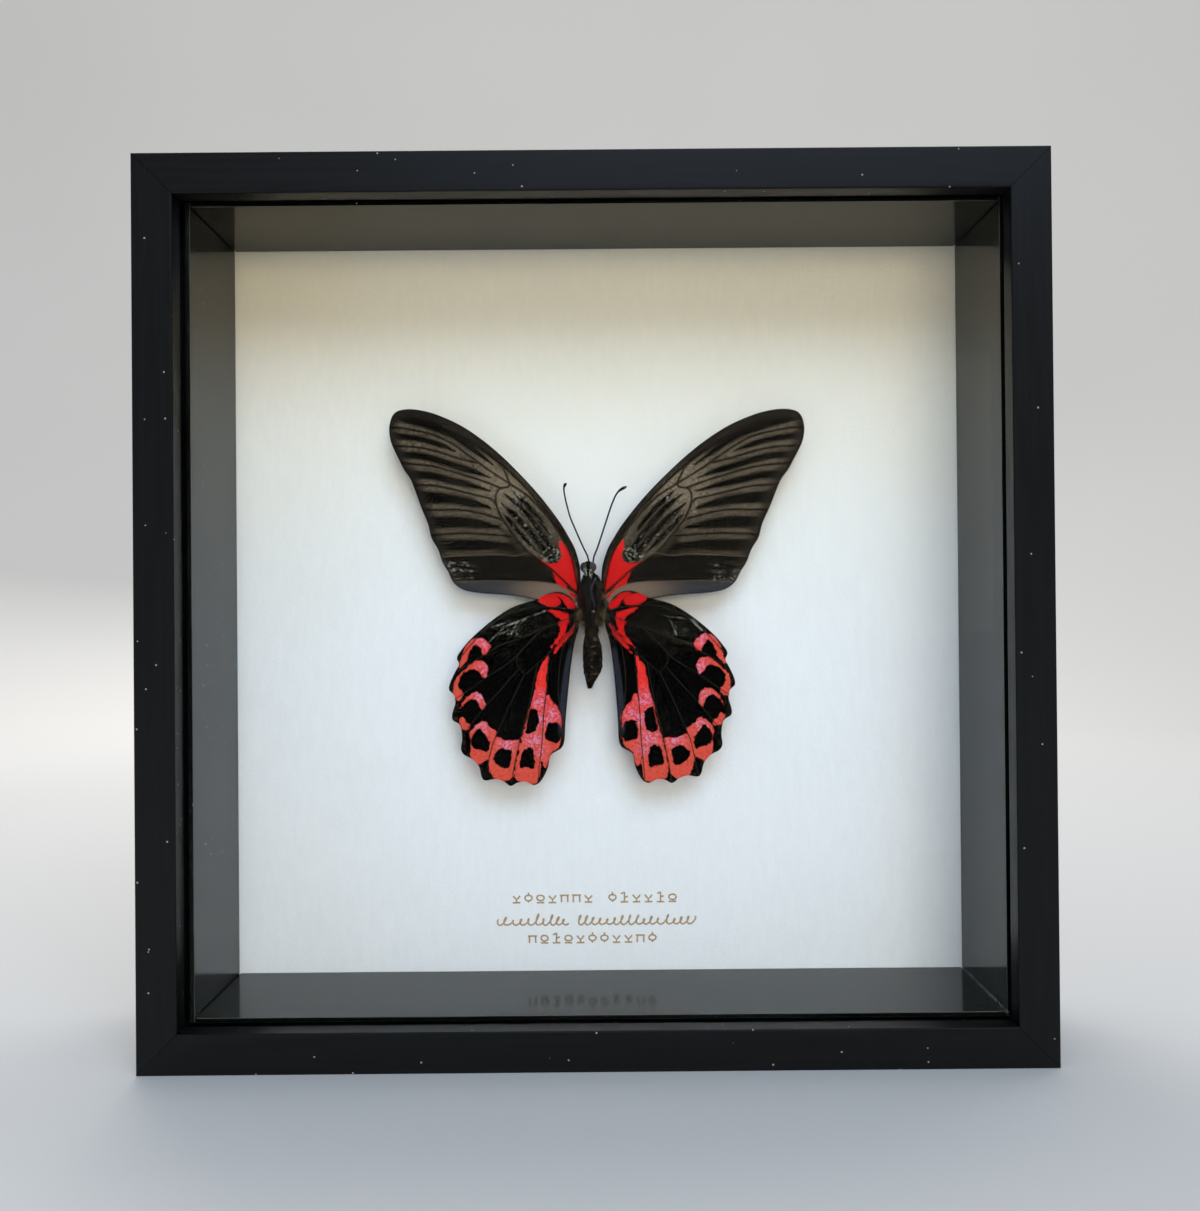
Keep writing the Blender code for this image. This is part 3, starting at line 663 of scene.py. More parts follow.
def nearest_patch(spots, patches):
    """Signed distance to the nearest of several closed patches."""
    best = np.full(len(spots), 9.0)
    for knots in patches:
        knots = np.array(knots, float)
        close = np.all((spots > knots.min(0) - 3) & (spots < knots.max(0) + 3), axis=1)
        if close.any():
            gap = signed_distance(spots[close], soft_path(knots, True, 4))
            best[close] = np.minimum(best[close], gap)
    return best


def unit(rows):
    """Each row, at length 1."""
    return rows / np.maximum(np.linalg.norm(rows, axis=1, keepdims=True), 1e-9)


def ramp(value, low, high):
    """A soft step from 0 to 1; it falls if high is under low."""
    share = np.clip((value - low) / (high - low), 0, 1)
    return share * share * (3 - 2 * share)


print("a soft step at its middle:", ramp(0.5, 0, 1))

# %% [markdown]
# The outline of each wing is a closed soft curve through a few dozen points. Veins fan out from the
# root. On the forewing a closed cell lies between the root and the fan, with the branches starting
# from its end.

# %% Outlines and veins
FOREWING = [
    (3.2, 7.6), (3.5, 11.0), (4.8, 15.6), (6.4, 18.8), (9.4, 23.9), (15.3, 31.8), (21.4, 38.6),
    (27.4, 44.6), (33.5, 49.7), (39.5, 53.7), (45.6, 56.6), (50.2, 58.1), (54.7, 58.8), (58.3, 58.4),
    (60.3, 56.9), (61.3, 53.6), (61.1, 49.8), (60.1, 46.9), (58.2, 42.9), (56.8, 40.1), (54.9, 37.3),
    (53.5, 33.7), (52.0, 29.4), (50.7, 26.2), (49.6, 23.3), (48.7, 19.4), (46.7, 15.8), (45.4, 11.9),
    (43.8, 9.2), (42.4, 6.2), (40.8, 4.5), (38.6, 3.3), (33.8, 2.4), (24.7, 1.7), (18.6, 0.6),
    (12.5, -0.9), (7.4, -1.4), (4.3, -0.6), (3.3, 2.6),
]
HINDWING = [
    (3.8, -3.6), (5.0, -0.9), (6.4, 1.0), (8.6, 2.3), (10.7, 2.6), (13.3, 2.0), (16.8, 0.3), (21.7, -1.1),
    (25.6, -2.8), (30.9, -6.4), (36.4, -11.1), (39.8, -15.0), (41.1, -17.3), (40.5, -19.3), (41.7, -21.6),
    (43.2, -24.7), (43.6, -27.0), (42.1, -28.6), (41.7, -31.0), (42.7, -34.4), (42.5, -36.3), (40.3, -37.9),
    (39.7, -41.7), (40.1, -45.0), (39.2, -46.8), (36.5, -48.3), (34.6, -50.6), (33.8, -53.7), (32.6, -54.7),
    (29.7, -54.3), (27.2, -55.0), (25.0, -56.4), (22.8, -55.4), (20.3, -55.2), (17.9, -56.2), (15.8, -55.0),
    (13.8, -51.4), (12.8, -47.3), (10.9, -45.9), (9.4, -44.9), (8.5, -42.6), (8.1, -36.4), (7.2, -27.3),
    (6.1, -18.2), (4.9, -11.9), (3.9, -8.9), (3.5, -6.4),
]
FOREWING_VEINS = {
    "edge": [(3.4, 3.1), (4.0, 9.2), (5.7, 14.8), (9.4, 20.9), (13.9, 27.4), (19.0, 33.5), (26.0, 40.6),
             (33.6, 46.5), (41.2, 51.2), (49.0, 55.0)],
    "cell_top": [(4.0, 3.1), (5.5, 11.7), (7.6, 16.9), (12.4, 24.6), (18.5, 31.4), (24.5, 35.7)],
    "cell_end": [(24.5, 35.7), (25.2, 34.7), (27.6, 34.2), (28.8, 32.4), (28.6, 29.0), (26.8, 24.7)],
    "cell_foot": [(26.8, 24.7), (23.1, 19.5), (18.6, 14.3), (12.5, 9.9), (7.7, 5.3), (4.0, 1.9)],
    "first": [(24.5, 35.7), (26.9, 40.9), (31.5, 45.6), (38.2, 49.9), (45.8, 53.3), (53.4, 55.9)],
    "second": [(24.5, 35.7), (30.6, 39.7), (36.7, 44.2), (42.8, 48.6), (48.9, 51.2), (58.0, 53.1),
               (61.0, 53.0)],
    "fork": [(34.3, 42.2), (39.8, 43.5), (45.9, 45.5), (52.0, 47.0), (59.3, 47.6)],
    "third": [(27.6, 34.5), (32.2, 36.4), (38.3, 38.4), (47.4, 41.1), (57.4, 42.4)],
    "fourth": [(30.1, 31.2), (35.3, 32.4), (41.4, 34.0), (47.5, 35.3), (54.0, 35.6)],
    "fifth": [(27.7, 25.0), (33.8, 26.8), (39.9, 27.9), (46.0, 27.9), (51.4, 28.0)],
    "sixth": [(24.1, 19.8), (27.7, 20.0), (33.8, 20.5), (39.9, 20.7), (48.7, 20.3)],
    "seventh": [(18.6, 14.6), (23.2, 13.7), (27.8, 14.2), (33.9, 14.1), (45.9, 13.6)],
    "last": [(4.6, 1.8), (10.1, 4.7), (15.6, 5.7), (21.7, 5.9), (30.9, 6.1), (42.2, 5.9)],
    "short": [(28.6, 29.0), (30.1, 31.2)],
}
HINDWING_VEINS = {
    "edge": [(4.0, -3.6), (6.5, -2.7), (11.1, -2.2), (15.6, -2.0), (20.2, -2.6), (24.8, -4.0), (28.5, -5.7),
             (32.8, -9.2), (37.1, -13.7), (40.2, -17.6)],
    "cell_top": [(4.4, -4.2), (9.6, -6.8), (15.7, -9.0), (21.8, -11.5), (27.9, -13.6), (34.0, -17.2),
                 (41.0, -21.3)],
    "first": [(15.7, -9.3), (20.3, -14.1), (24.9, -18.7), (31.0, -22.6), (41.9, -30.0)],
    "cell_end": [(22.8, -17.2), (22.8, -19.6), (20.7, -22.4)],
    "second": [(22.5, -21.1), (28.0, -27.2), (34.2, -34.1), (39.6, -41.0)],
    "third": [(20.7, -22.7), (25.0, -31.5), (28.1, -38.4), (30.6, -44.5), (32.8, -54.0)],
    "cell_foot": [(4.4, -5.1), (6.5, -9.1), (9.6, -13.0), (12.7, -15.7), (15.8, -18.7), (20.1, -22.4)],
    "fourth": [(16.7, -19.9), (19.2, -31.8), (21.7, -40.9), (23.6, -49.1), (24.8, -55.6)],
    "fifth": [(13.0, -16.6), (13.7, -25.8), (14.7, -34.0), (15.3, -42.5), (16.7, -54.9)],
    "last": [(4.1, -6.7), (7.2, -11.5), (9.3, -16.7), (10.3, -27.3), (9.2, -36.5), (8.9, -43.2)],
}
print(len(FOREWING_VEINS), "veins on a forewing,", len(HINDWING_VEINS), "on a hindwing")

# %% [markdown]
# The forewing is dusted grey-brown along both sides of every vein, which leaves a black streak down
# the middle of each space. Near the root there is a scarlet patch, and under the last vein the skin
# is bare slate grey and tan, where the hindwing covers it in life.

# %% Places of the forewing's marks
STREAKS = {
    "a": [(55.0, 55.3), (48.9, 53.4), (41.2, 50.2), (35.2, 45.9), (29.7, 41.6)],
    "b": [(58.1, 50.7), (52.0, 49.7), (45.9, 47.8), (41.0, 45.8)],
    "c": [(58.1, 44.9), (52.0, 44.5), (45.9, 42.9), (36.7, 39.8), (30.6, 37.6)],
    "d": [(55.5, 38.9), (49.0, 38.5), (42.9, 36.9), (36.8, 35.5), (30.7, 33.6)],
    "e": [(51.6, 32.2), (42.9, 31.3), (36.8, 30.0), (30.7, 28.4)],
    "f": [(49.5, 24.1), (39.9, 23.9), (27.7, 22.4)],
    "g": [(46.6, 17.2), (36.9, 17.2), (26.0, 17.1)],
    "fold_a": [(44.1, 9.9), (37.0, 10.1), (30.8, 11.3), (20.0, 11.6)],
    "fold_b": [(43.1, 6.8), (37.0, 8.3), (30.9, 8.9), (22.0, 8.6)],
    "cell_a": [(26.2, 32.6), (20.6, 27.6), (14.4, 19.5), (10.5, 13.0)],
    "cell_b": [(27.2, 29.8), (21.6, 24.4), (15.6, 17.4), (12.0, 12.6)],
    "cell_c": [(23.8, 33.6), (17.6, 27.2), (12.0, 19.5)],
    "cell_d": [(26.6, 26.6), (22.0, 21.0), (16.5, 15.0)],
}
STREAK_HALF_WIDTHS = {"b": 0.8, "fold_a": 0.6, "fold_b": 0.6, "cell_a": 0.9, "cell_b": 0.9, "cell_c": 0.75,
                      "cell_d": 0.75, "e": 1.35, "f": 1.35, "g": 1.35}
STREAK_HALF_WIDTH = 1.0
STREAK_REACH = 3.0                         # how much farther the streaks run towards the margin
TAN_VEINS = ("seventh", "last")
FOREWING_RED = [
    [(9.4, 18.5), (7.6, 16.6), (5.5, 12.3), (4.3, 7.1), (4.3, 2.5), (7.7, 5.3), (11.6, 9.0), (15.4, 12.3),
     (12.8, 11.3), (10.2, 11.5), (8.8, 13.6), (9.4, 15.7)],
    [(11.6, 9.0), (9.5, 7.1), (7.2, 4.5), (8.9, 3.8), (10.6, 5.5)],
    [(8.3, 4.1), (6.2, 2.8), (4.3, 1.0), (5.3, 0.7)],
]


print(len(STREAKS), "streaks and", len(FOREWING_RED), "red patches on a forewing")

# %% [markdown]
# The finish can't know where a vein or a streak runs, so the marks are worked out for every corner of
# the mesh: how dark the streaks are, how thick the dust lies, and how far it is to each crisp edge.
# The dust is thick beside the veins and round the cell's end. It thins out towards the margin, the
# root and the fold, and a small worn patch near the root is speckled with bare, pale skin.

# %% Marks of the forewing
DRAWN_PATH_END, STREAK_END = 0.25, 0.02    # share of a streak over which its outer end tapers
FOLD_RIBS = 2.3                            # millimetres between the rows of pale flecks on the fold


def speckle(spots, size, seed):
    """Repeatable soft noise from 0 to 1, the same on any grid."""
    rng = np.random.default_rng(seed)
    table = rng.random((64, 64))
    cell = spots / size
    low = np.floor(cell).astype(int)
    share = cell - low
    share = share * share * (3 - 2 * share)
    x0, y0 = low[:, 0] % 64, low[:, 1] % 64
    x1, y1 = (x0 + 1) % 64, (y0 + 1) % 64
    top = table[x0, y0] * (1 - share[:, 0]) + table[x1, y0] * share[:, 0]
    foot = table[x0, y1] * (1 - share[:, 0]) + table[x1, y1] * share[:, 0]
    return top * (1 - share[:, 1]) + foot * share[:, 1]


def scratch_distance(spots, rubbed):
    """How far each spot is from the edge of the nearest scratch; less than 0 on the scratch."""
    gaps = [distance(spots, soft_path(knots))[0] - width for knots, width in rubbed]
    return np.min(gaps, axis=0)


def streak_darkness(spots):
    """1 in the middle of the black streaks, falling to 0 at their soft sides and ends."""
    dark = np.zeros(len(spots))
    for name, knots in STREAKS.items():
        path = soft_path(knots)
        outer_end = DRAWN_PATH_END
        if not name.startswith("cell"):
            path = np.vstack([path[0] + STREAK_REACH * unit(path[:1] - path[4:5]), path])
            outer_end = STREAK_END
        gap, along = distance(spots, path)
        ends = ramp(along, 0, outer_end) * ramp(1 - along, 0, 0.35)
        half = STREAK_HALF_WIDTHS.get(name, STREAK_HALF_WIDTH) * (0.25 + 0.75 * ends)
        dark = np.maximum(dark, ramp(gap, half * 1.75, half * 0.5))
    return dark


def forewing_marks(spots, veins, rubbed):
    """The numbers that the forewing's finish reads, for each corner of its mesh."""
    out, up = spots[:, 0], spots[:, 1]
    gaps = {key: distance(spots, path)[0] for key, path in veins.items()}
    vein = np.min([gap for key, gap in gaps.items() if key not in TAN_VEINS], axis=0)
    tan_vein = np.min([gaps[key] for key in TAN_VEINS], axis=0)
    margin = -signed_distance(spots, soft_path(FOREWING, True))
    ahead = signed_distance(spots, np.vstack([veins["edge"], [(60, 70), (-5, 70), (-5, 0)]]))
    cell = signed_distance(spots, np.vstack([veins["cell_top"], veins["cell_end"], veins["cell_foot"]]))
    last = veins["last"][np.argsort(veins["last"][:, 0])]
    below = ramp(up - np.interp(out, last[:, 0], last[:, 1]), 0.1, -0.3)

    # Dust beside the veins and in the cell, thickest round the cell's end
    fade = 1 - ramp(out, 20, 30) * (1 - ramp(margin, 0.4, 4.2))
    beside = np.maximum(ramp(vein, 2.6, 1.3), 0.9 * ramp(cell, 0.0, -0.8))
    above_seventh = ramp(gaps["seventh"], 2.2, 0.9) * ramp(up, 13.5, 14.2) * ramp(out, 20, 34)
    dust = (1 - streak_darkness(spots)) * fade * np.maximum(beside, 0.6 * above_seventh)
    dust *= 0.46 + 0.5 * ramp(np.hypot(out - 26, up - 36), 13, 1)

    # Less of it low down, along the front edge, under the cell, in the worn patch and in the fold
    dust *= 1 - 0.28 * ramp(up, 33, 20)
    dust *= 1 - ramp(up - 0.3 * out, 38.6, 40.2)
    dust *= 1 - 0.7 * ramp(cell, 0.1, 0.5) * ramp(gaps["cell_foot"], 3.2, 2.0) * ramp(up, 24, 19)
    dust *= np.where(ahead < 0, 0.15, 1)
    speckled = ramp(np.hypot(out - 12.2, up - 13.4), 4.6, 2.4)
    dust *= 1 - 0.85 * speckled
    in_fold = ramp(up, 14.0, 12.8) * ramp(out - up * 1.1, 1.0, 4.0) * (1 - below)
    dust *= 1 - in_fold * (0.95 - 0.6 * ramp(out, 33, 41))

    # Brown towards the margin, and pale flecks on the fold, in the cell and in the worn patch
    brown = np.maximum(1 - ramp(margin, 0.8, 4.5), np.where(ahead < 0, 0.75, 0)) * ramp(out, 8, 22)
    brown = np.maximum(brown, 0.12 * in_fold)
    rows = 0.5 + 0.5 * np.cos(2 * pi * (up - 0.06 * out) / FOLD_RIBS)
    flecks = 0.66 * ramp(out, 29, 39) * ramp(up, 13.5, 11) * ramp(up, 4.2, 5.5) * (0.45 + 0.55 * rows)
    worn_cell = 0.5 * ramp(np.hypot((out - 21.5) / 1.5, up - 30.5), 3.6, 0.6)
    pale = np.max([flecks, 0.62 * speckled, worn_cell, 0.35 * ramp(cell, 0, -1)], axis=0)
    return {
        "vein": vein * MM, "tan_vein": tan_vein * MM, "margin": margin * MM, "dust": dust, "pale": pale,
        "bare_skin_and_leg_highlight": below, "red": nearest_patch(spots, FOREWING_RED) * MM, "reach": np.hypot(out, up) * MM,
        "scratch": scratch_distance(spots, rubbed) * MM, "brown": brown,
    }


print("marks worked out for a forewing by", forewing_marks.__name__)

# %% [markdown]
# The hindwing is black, with a scalloped margin. Red and pink hooks lie round black spots between
# the veins near the margin, a long red streak runs down the inner side, and scarlet patches sit at
# the root. Some scales are rubbed off along a few scratches, as on any handled specimen.

# %% Places of the hindwing's marks
HINDWING_RED = [
    [(16.2, 0.8), (14.1, 1.8), (11.6, 1.6), (9.5, 0.4), (9.2, -0.8), (10.7, -1.9), (13.5, -1.8),
     (15.3, -0.8)],
    [(11.6, 2.0), (8.9, 1.9), (6.8, 0.7), (4.6, -1.2), (4.6, -2.4), (6.2, -2.8), (7.7, -1.7),
     (8.6, -0.2), (10.1, 1.0)],
    [(13.8, -2.6), (10.8, -2.9), (8.0, -3.9), (6.8, -4.8), (8.6, -6.0), (10.2, -5.1)],
    [(6.8, -5.4), (7.8, -9.1), (9.6, -12.1), (13.0, -15.1), (10.8, -12.1), (9.3, -9.0), (10.2, -7.2),
     (9.0, -6.3)],
    [(4.7, -7.0), (6.2, -10.6), (8.7, -13.3), (11.8, -16.6), (10.5, -13.6), (7.8, -10.3)],
    [(13.0, -16.9), (13.7, -21.8), (14.0, -27.3), (14.7, -34.0), (15.3, -42.5), (15.7, -50.1),
     (16.7, -55.0), (19.1, -55.9), (22.2, -55.2), (23.7, -53.4), (23.0, -48.5), (21.4, -41.9),
     (19.5, -34.9), (17.7, -28.5), (16.1, -21.2)],
    [(13.4, -28.8), (11.9, -31.3), (10.1, -33.1), (9.2, -35.9), (9.5, -39.5), (10.2, -44.7),
     (12.6, -46.5), (14.2, -51.1), (15.7, -48.0), (15.3, -42.5), (14.7, -34.0)],
    [(29.0, -41.5), (26.0, -42.7), (22.4, -42.5), (22.7, -45.5), (23.9, -51.0), (24.3, -53.4),
     (27.0, -55.2), (30.1, -54.0), (31.6, -49.7), (30.6, -44.5)],
    [(37.3, -46.0), (37.0, -43.2), (37.3, -40.2), (35.7, -38.1), (33.0, -36.6), (31.5, -38.4),
     (29.3, -39.7), (29.7, -42.1), (31.5, -47.6), (32.8, -48.8), (34.9, -50.0), (36.7, -48.4)],
    [(40.3, -32.9), (39.3, -30.7), (37.8, -28.9), (36.0, -27.9), (34.1, -28.0), (32.9, -29.9),
     (32.6, -31.7), (33.6, -33.2), (34.8, -30.8), (36.6, -29.8), (38.4, -30.7)],
    [(40.6, -36.2), (39.4, -35.3), (38.5, -36.8), (37.2, -37.8), (37.9, -39.3), (39.4, -39.0),
     (40.3, -37.4)],
    [(42.3, -27.1), (42.0, -24.9), (40.8, -22.8), (38.6, -21.0), (36.8, -19.2), (35.0, -18.3),
     (32.8, -18.6), (31.9, -20.7), (32.3, -23.2), (33.8, -22.9), (35.0, -21.0), (37.7, -21.0),
     (39.9, -22.8), (40.8, -24.9), (40.2, -27.1), (39.0, -28.3), (40.2, -30.1), (41.8, -29.8)],
    [(40.5, -20.4), (40.1, -18.5), (39.5, -16.4), (38.0, -13.4), (36.1, -11.6), (34.3, -11.0),
     (32.2, -12.2), (31.0, -14.0), (31.6, -15.6), (33.1, -16.5), (34.0, -14.0), (35.8, -13.4),
     (37.7, -16.4), (38.0, -18.0), (38.9, -19.2)],
]
HINDWING_SPOTS = [
    [(18.3, -33.0), (16.5, -34.0), (16.2, -36.4), (16.8, -39.2), (18.4, -40.4), (20.2, -40.3),
     (19.9, -37.0), (19.2, -34.3)],
    [(19.9, -44.9), (18.4, -44.9), (17.8, -47.7), (17.9, -51.3), (19.7, -51.0), (22.1, -50.7),
     (21.8, -47.6), (21.2, -45.5)],
    [(14.4, -41.0), (13.5, -37.4), (11.9, -37.1), (9.8, -37.7), (9.5, -41.0), (10.5, -43.2),
     (12.3, -43.2), (13.8, -42.5)],
    [(28.2, -45.1), (25.1, -45.5), (24.8, -47.9), (25.5, -50.7), (27.9, -50.9), (29.4, -49.4),
     (30.3, -47.9), (29.4, -46.1)],
    [(34.5, -39.0), (32.7, -40.8), (31.2, -43.6), (32.1, -46.0), (34.3, -45.4), (36.4, -44.8),
     (37.0, -42.3), (36.0, -40.2)],
]
PINK = [(33.0, -12.6, 2.4), (32.6, -21.2, 2.4), (34.2, -29.6, 2.0), (16.2, -30.5, 2.6), (14.9, -36.5, 2.2),
        (17.9, -42.5, 2.8), (12.0, -34.6, 2.2), (26.0, -43.6, 2.4), (33.5, -38.4, 2.2), (15.8, -46.0, 1.8)]


INNER_FOLD = [(5.3, -14.0), (7.0, -22.0), (8.3, -32.0), (8.9, -42.0)]
print(len(HINDWING_RED), "red marks and", len(HINDWING_SPOTS), "black spots on a hindwing")

# %% [markdown]
# The hindwing's numbers are fewer: red marks and black spots as distances, pink in the middle of some
# marks, a bare grey fold along the inner side, and a little dust near the root and the margin.

# %% Marks of the hindwing
def hindwing_marks(spots, veins, rubbed):
    """The numbers that the hindwing's finish reads, for each corner of its mesh."""
    out, up = spots[:, 0], spots[:, 1]
    vein = np.min([distance(spots, path)[0] for path in veins.values()], axis=0)
    margin = -signed_distance(spots, soft_path(HINDWING, True))
    pink = np.zeros(len(spots))
    for x, z, size in PINK:
        pink = np.maximum(pink, np.exp(-((out - x) ** 2 + (up - z) ** 2) / size ** 2))
    fold, along = distance(spots, soft_path(INNER_FOLD))
    bare_skin_and_leg_highlight = ramp(fold, 2.0, 1.2) * ramp(np.minimum(along, 1 - along), 0, 0.1)
    upper_dust = 0.35 * ramp(np.hypot(out - 26, (up + 13) * 1.2), 13, 3)
    lower_dust = 0.3 * ramp(np.hypot(out - 24, up + 38), 10, 2)
    dust = np.maximum(upper_dust + lower_dust, 0.6 * ramp(margin, 2.5, 0.4))
    pale = 0.36 * ramp(np.hypot((out - 25) / 1.8, up + 9.0), 5.0, 1.0)
    return {
        "vein": vein * MM, "margin": margin * MM, "dust": dust, "pale": pale, "bare_skin_and_leg_highlight": bare_skin_and_leg_highlight, "pink": pink,
        "red": nearest_patch(spots, HINDWING_RED) * MM, "spot": nearest_patch(spots, HINDWING_SPOTS) * MM,
        "reach": np.hypot(out, up) * MM, "scratch": scratch_distance(spots, rubbed) * MM,
    }


print("marks worked out for a hindwing by", hindwing_marks.__name__)

# %% [markdown]
# The scales make the colour, so the finish reads the marks and breaks their edges up with the grain
# of the scales. Where a mark is a distance, the finish turns it into a crisp edge itself, which
# stays sharp however near the camera comes. The colours go on in layers, as the scales do: ground,
# dust, bare skin, red, stray flecks, scratches, veins and the dark rim.

# %% Finishes of the wings
BROWN_SCALES, STRAY_SCALES, PALE_FLECK = (0.0165, 0.0125, 0.0095), (0.10, 0.085, 0.065), (0.24, 0.23, 0.19)
DEEP_SCARLET, SCARLET, CORAL = (0.56, 0.006, 0.007), (0.76, 0.034, 0.026), (0.63, 0.080, 0.052)
DARK_SCARLET, ROSE, LILAC = (0.40, 0.014, 0.012), (0.60, 0.085, 0.11), (0.60, 0.24, 0.38)
RUBBED_SKIN, TAN_LINE, RIM_BLACK = (0.36, 0.35, 0.31), (0.12, 0.085, 0.055), (0.006, 0.005, 0.004)
EDGE_SOFTNESS = 0.1 * MM                   # half the width of a mark's edge
SCALE_STRAY, PATCH_STRAY = 0.6 * MM, 1.6 * MM  # how far scales and clumps of scales leave an edge
FOREWING_LINE, HINDWING_LINE = (0.55 * MM, 0.18 * MM), (0.26 * MM, 0.1 * MM)
TAN_VEIN_LINE, RIM = (0.24 * MM, 0.1 * MM), (0.5 * MM, 0.15 * MM)


def wing_finish(name, ground, dusting, bare_outer, bare_inner, vein_colour, is_hindwing):
    made, tree, shader = new_finish(name, Specular_IOR_Level=0.0)
    grain = use(tree, scales, Vector=where(tree), Grain=2300.0)
    speck = grain["Speckle"]
    uneven = less(tree, speck, 0.5)
    wander = less(tree, noise(tree, where(tree), 800.0, 3.0), 0.5)
    ragged = weighed(tree, uneven, SCALE_STRAY, wander, PATCH_STRAY)

    def marked(key):
        """1 on a mark that is given as a distance, with an edge as ragged as its scales."""
        return step(tree, plus(tree, attribute(tree, key), ragged), EDGE_SOFTNESS, -EDGE_SOFTNESS)

    dust = attribute(tree, "dust")
    if is_hindwing:
        dusted = step(tree, plus(tree, times(tree, dust, 0.42), speck), 0.74, 0.96)
        base = mixed(tree, dusted, ground, dusting)
    else:
        base = mixed(tree, attribute(tree, "brown"), ground, BROWN_SCALES)
        grains = times(tree, less(tree, grain["Grains"], 0.5), 0.7)
        wear_and_leg_highlight = plus(tree, weighed(tree, uneven, 1.1, wander, 0.8), grains)
        dusted = times(tree, dust, plus(tree, 1.0, wear_and_leg_highlight), clamp=True)
        base = mixed(tree, dusted, base, dusting)
        base = over(tree, base, STRAY_SCALES, step(tree, speck, 0.66, 0.85), 0.12)
    reach = attribute(tree, "reach")
    skin = mixed(tree, step(tree, reach, 11 * MM, 31 * MM), bare_inner, bare_outer)
    base = over(tree, base, skin, attribute(tree, "bare_skin_and_leg_highlight"), 0.92)

    red = marked("red")
    scarlet = mixed(tree, step(tree, reach, 13 * MM, 26 * MM), DEEP_SCARLET, SCARLET)
    scarlet = mixed(tree, step(tree, reach, 27 * MM, 46 * MM), scarlet, CORAL)
    scarlet = over(tree, scarlet, DARK_SCARLET, step(tree, speck, 0.5, 0.3), 0.5)
    if is_hindwing:
        rosy = times(tree, attribute(tree, "pink"), plus(tree, grain["Grains"], 0.1), clamp=True)
        lilac = mixed(tree, step(tree, speck, 0.42, 0.62), ROSE, LILAC)
        scarlet = mixed(tree, rosy, scarlet, lilac)
        red = times(tree, red, less(tree, 1.0, marked("spot")))
    base = mixed(tree, red, base, scarlet)
    not_red = less(tree, 1.0, red)

    tiny = use(tree, scales, Vector=where(tree), Grain=2100.0)
    tiny = weighed(tree, tiny["Speckle"], 0.4, tiny["Grains"], 0.6)
    flecks = plus(tree, times(tree, attribute(tree, "pale"), 0.5), tiny)
    flecks = times(tree, step(tree, flecks, 0.98, 1.1), not_red)
    base = over(tree, base, PALE_FLECK, flecks, 0.8)
    wear_and_leg_highlight = plus(tree, attribute(tree, "scratch"), times(tree, ragged, 0.55))
    base = over(tree, base, RUBBED_SKIN, step(tree, wear_and_leg_highlight, EDGE_SOFTNESS, -1.2 * EDGE_SOFTNESS), 0.7)
    line = step(tree, attribute(tree, "vein"), *(HINDWING_LINE if is_hindwing else FOREWING_LINE))
    base = over(tree, base, vein_colour, line, 0.85)
    if not is_hindwing:
        tan_line = step(tree, attribute(tree, "tan_vein"), *TAN_VEIN_LINE)
        base = over(tree, base, TAN_LINE, tan_line, 0.6)
    rim = times(tree, step(tree, attribute(tree, "margin"), *RIM), not_red)
    paint(tree, shader, mixed(tree, rim, base, RIM_BLACK))
    roughen(tree, shader, attribute(tree, "bare_skin_and_leg_highlight"), 0.8, 0.5)
    bumped(tree, shader, grain["Height"], 0.03 * MM, 0.5)
    return made


FOREWING_FINISH = wing_finish(
    "forewing_scale_rows", ground=(0.0030, 0.0026, 0.0020), dusting=(0.190, 0.143, 0.094),
    bare_outer=(0.034, 0.033, 0.038), bare_inner=(0.18, 0.122, 0.088),
    vein_colour=(0.0060, 0.0042, 0.0030), is_hindwing=False)
HINDWING_FINISH = wing_finish(
    "hindwing_scale_rows", ground=(0.0010, 0.0009, 0.0008), dusting=(0.027, 0.022, 0.014),
    bare_outer=(0.022, 0.023, 0.031), bare_inner=(0.022, 0.023, 0.031),
    vein_colour=(0.020, 0.017, 0.013), is_hindwing=True)
print("wing finishes:", FOREWING_FINISH.name, HINDWING_FINISH.name)

# %% [markdown]
# To cut a grid to a wing's outline, the grid first gets its thickness, and a Boolean then keeps what
# lies inside a thick plate with the outline. The grid's square cells survive all over the wing, so
# it can be pleated smoothly, and the marks are worked out for every corner of it.

# %% Cutting a sheet to an outline
CELL = 0.3                                 # millimetres between the grid's lines
SHEET = 0.16                               # thickness of the skin
PLATE_HALF = 3                             # half the cutting plate's thickness
BORDER = 2                                 # how far the grid reaches past the outline


def outline_plate(knots):
    """A thick plate with a wing's outline, upright, as a cutter."""
    path = soft_path(knots, True)
    curve = bpy.data.curves.new("outline", "CURVE")
    curve.dimensions = "2D"
    curve.fill_mode = "BOTH"
    curve.extrude = PLATE_HALF
    line = curve.splines.new("POLY")
    line.points.add(len(path) - 1)
    line.points.foreach_set("co", np.c_[path, np.zeros(len(path)), np.ones(len(path))].ravel())
    line.use_cyclic_u = True
    plate = bpy.data.objects.new("outline", curve)
    bpy.context.scene.collection.objects.link(plate)
    only(plate)
    bpy.ops.object.convert(target="MESH")
    plate.rotation_euler = (pi / 2, 0, 0)
    edit(plate)
    bpy.ops.mesh.remove_doubles(threshold=0.001)
    bpy.ops.mesh.normals_make_consistent(inside=False)
    done()
    return settle(plate)


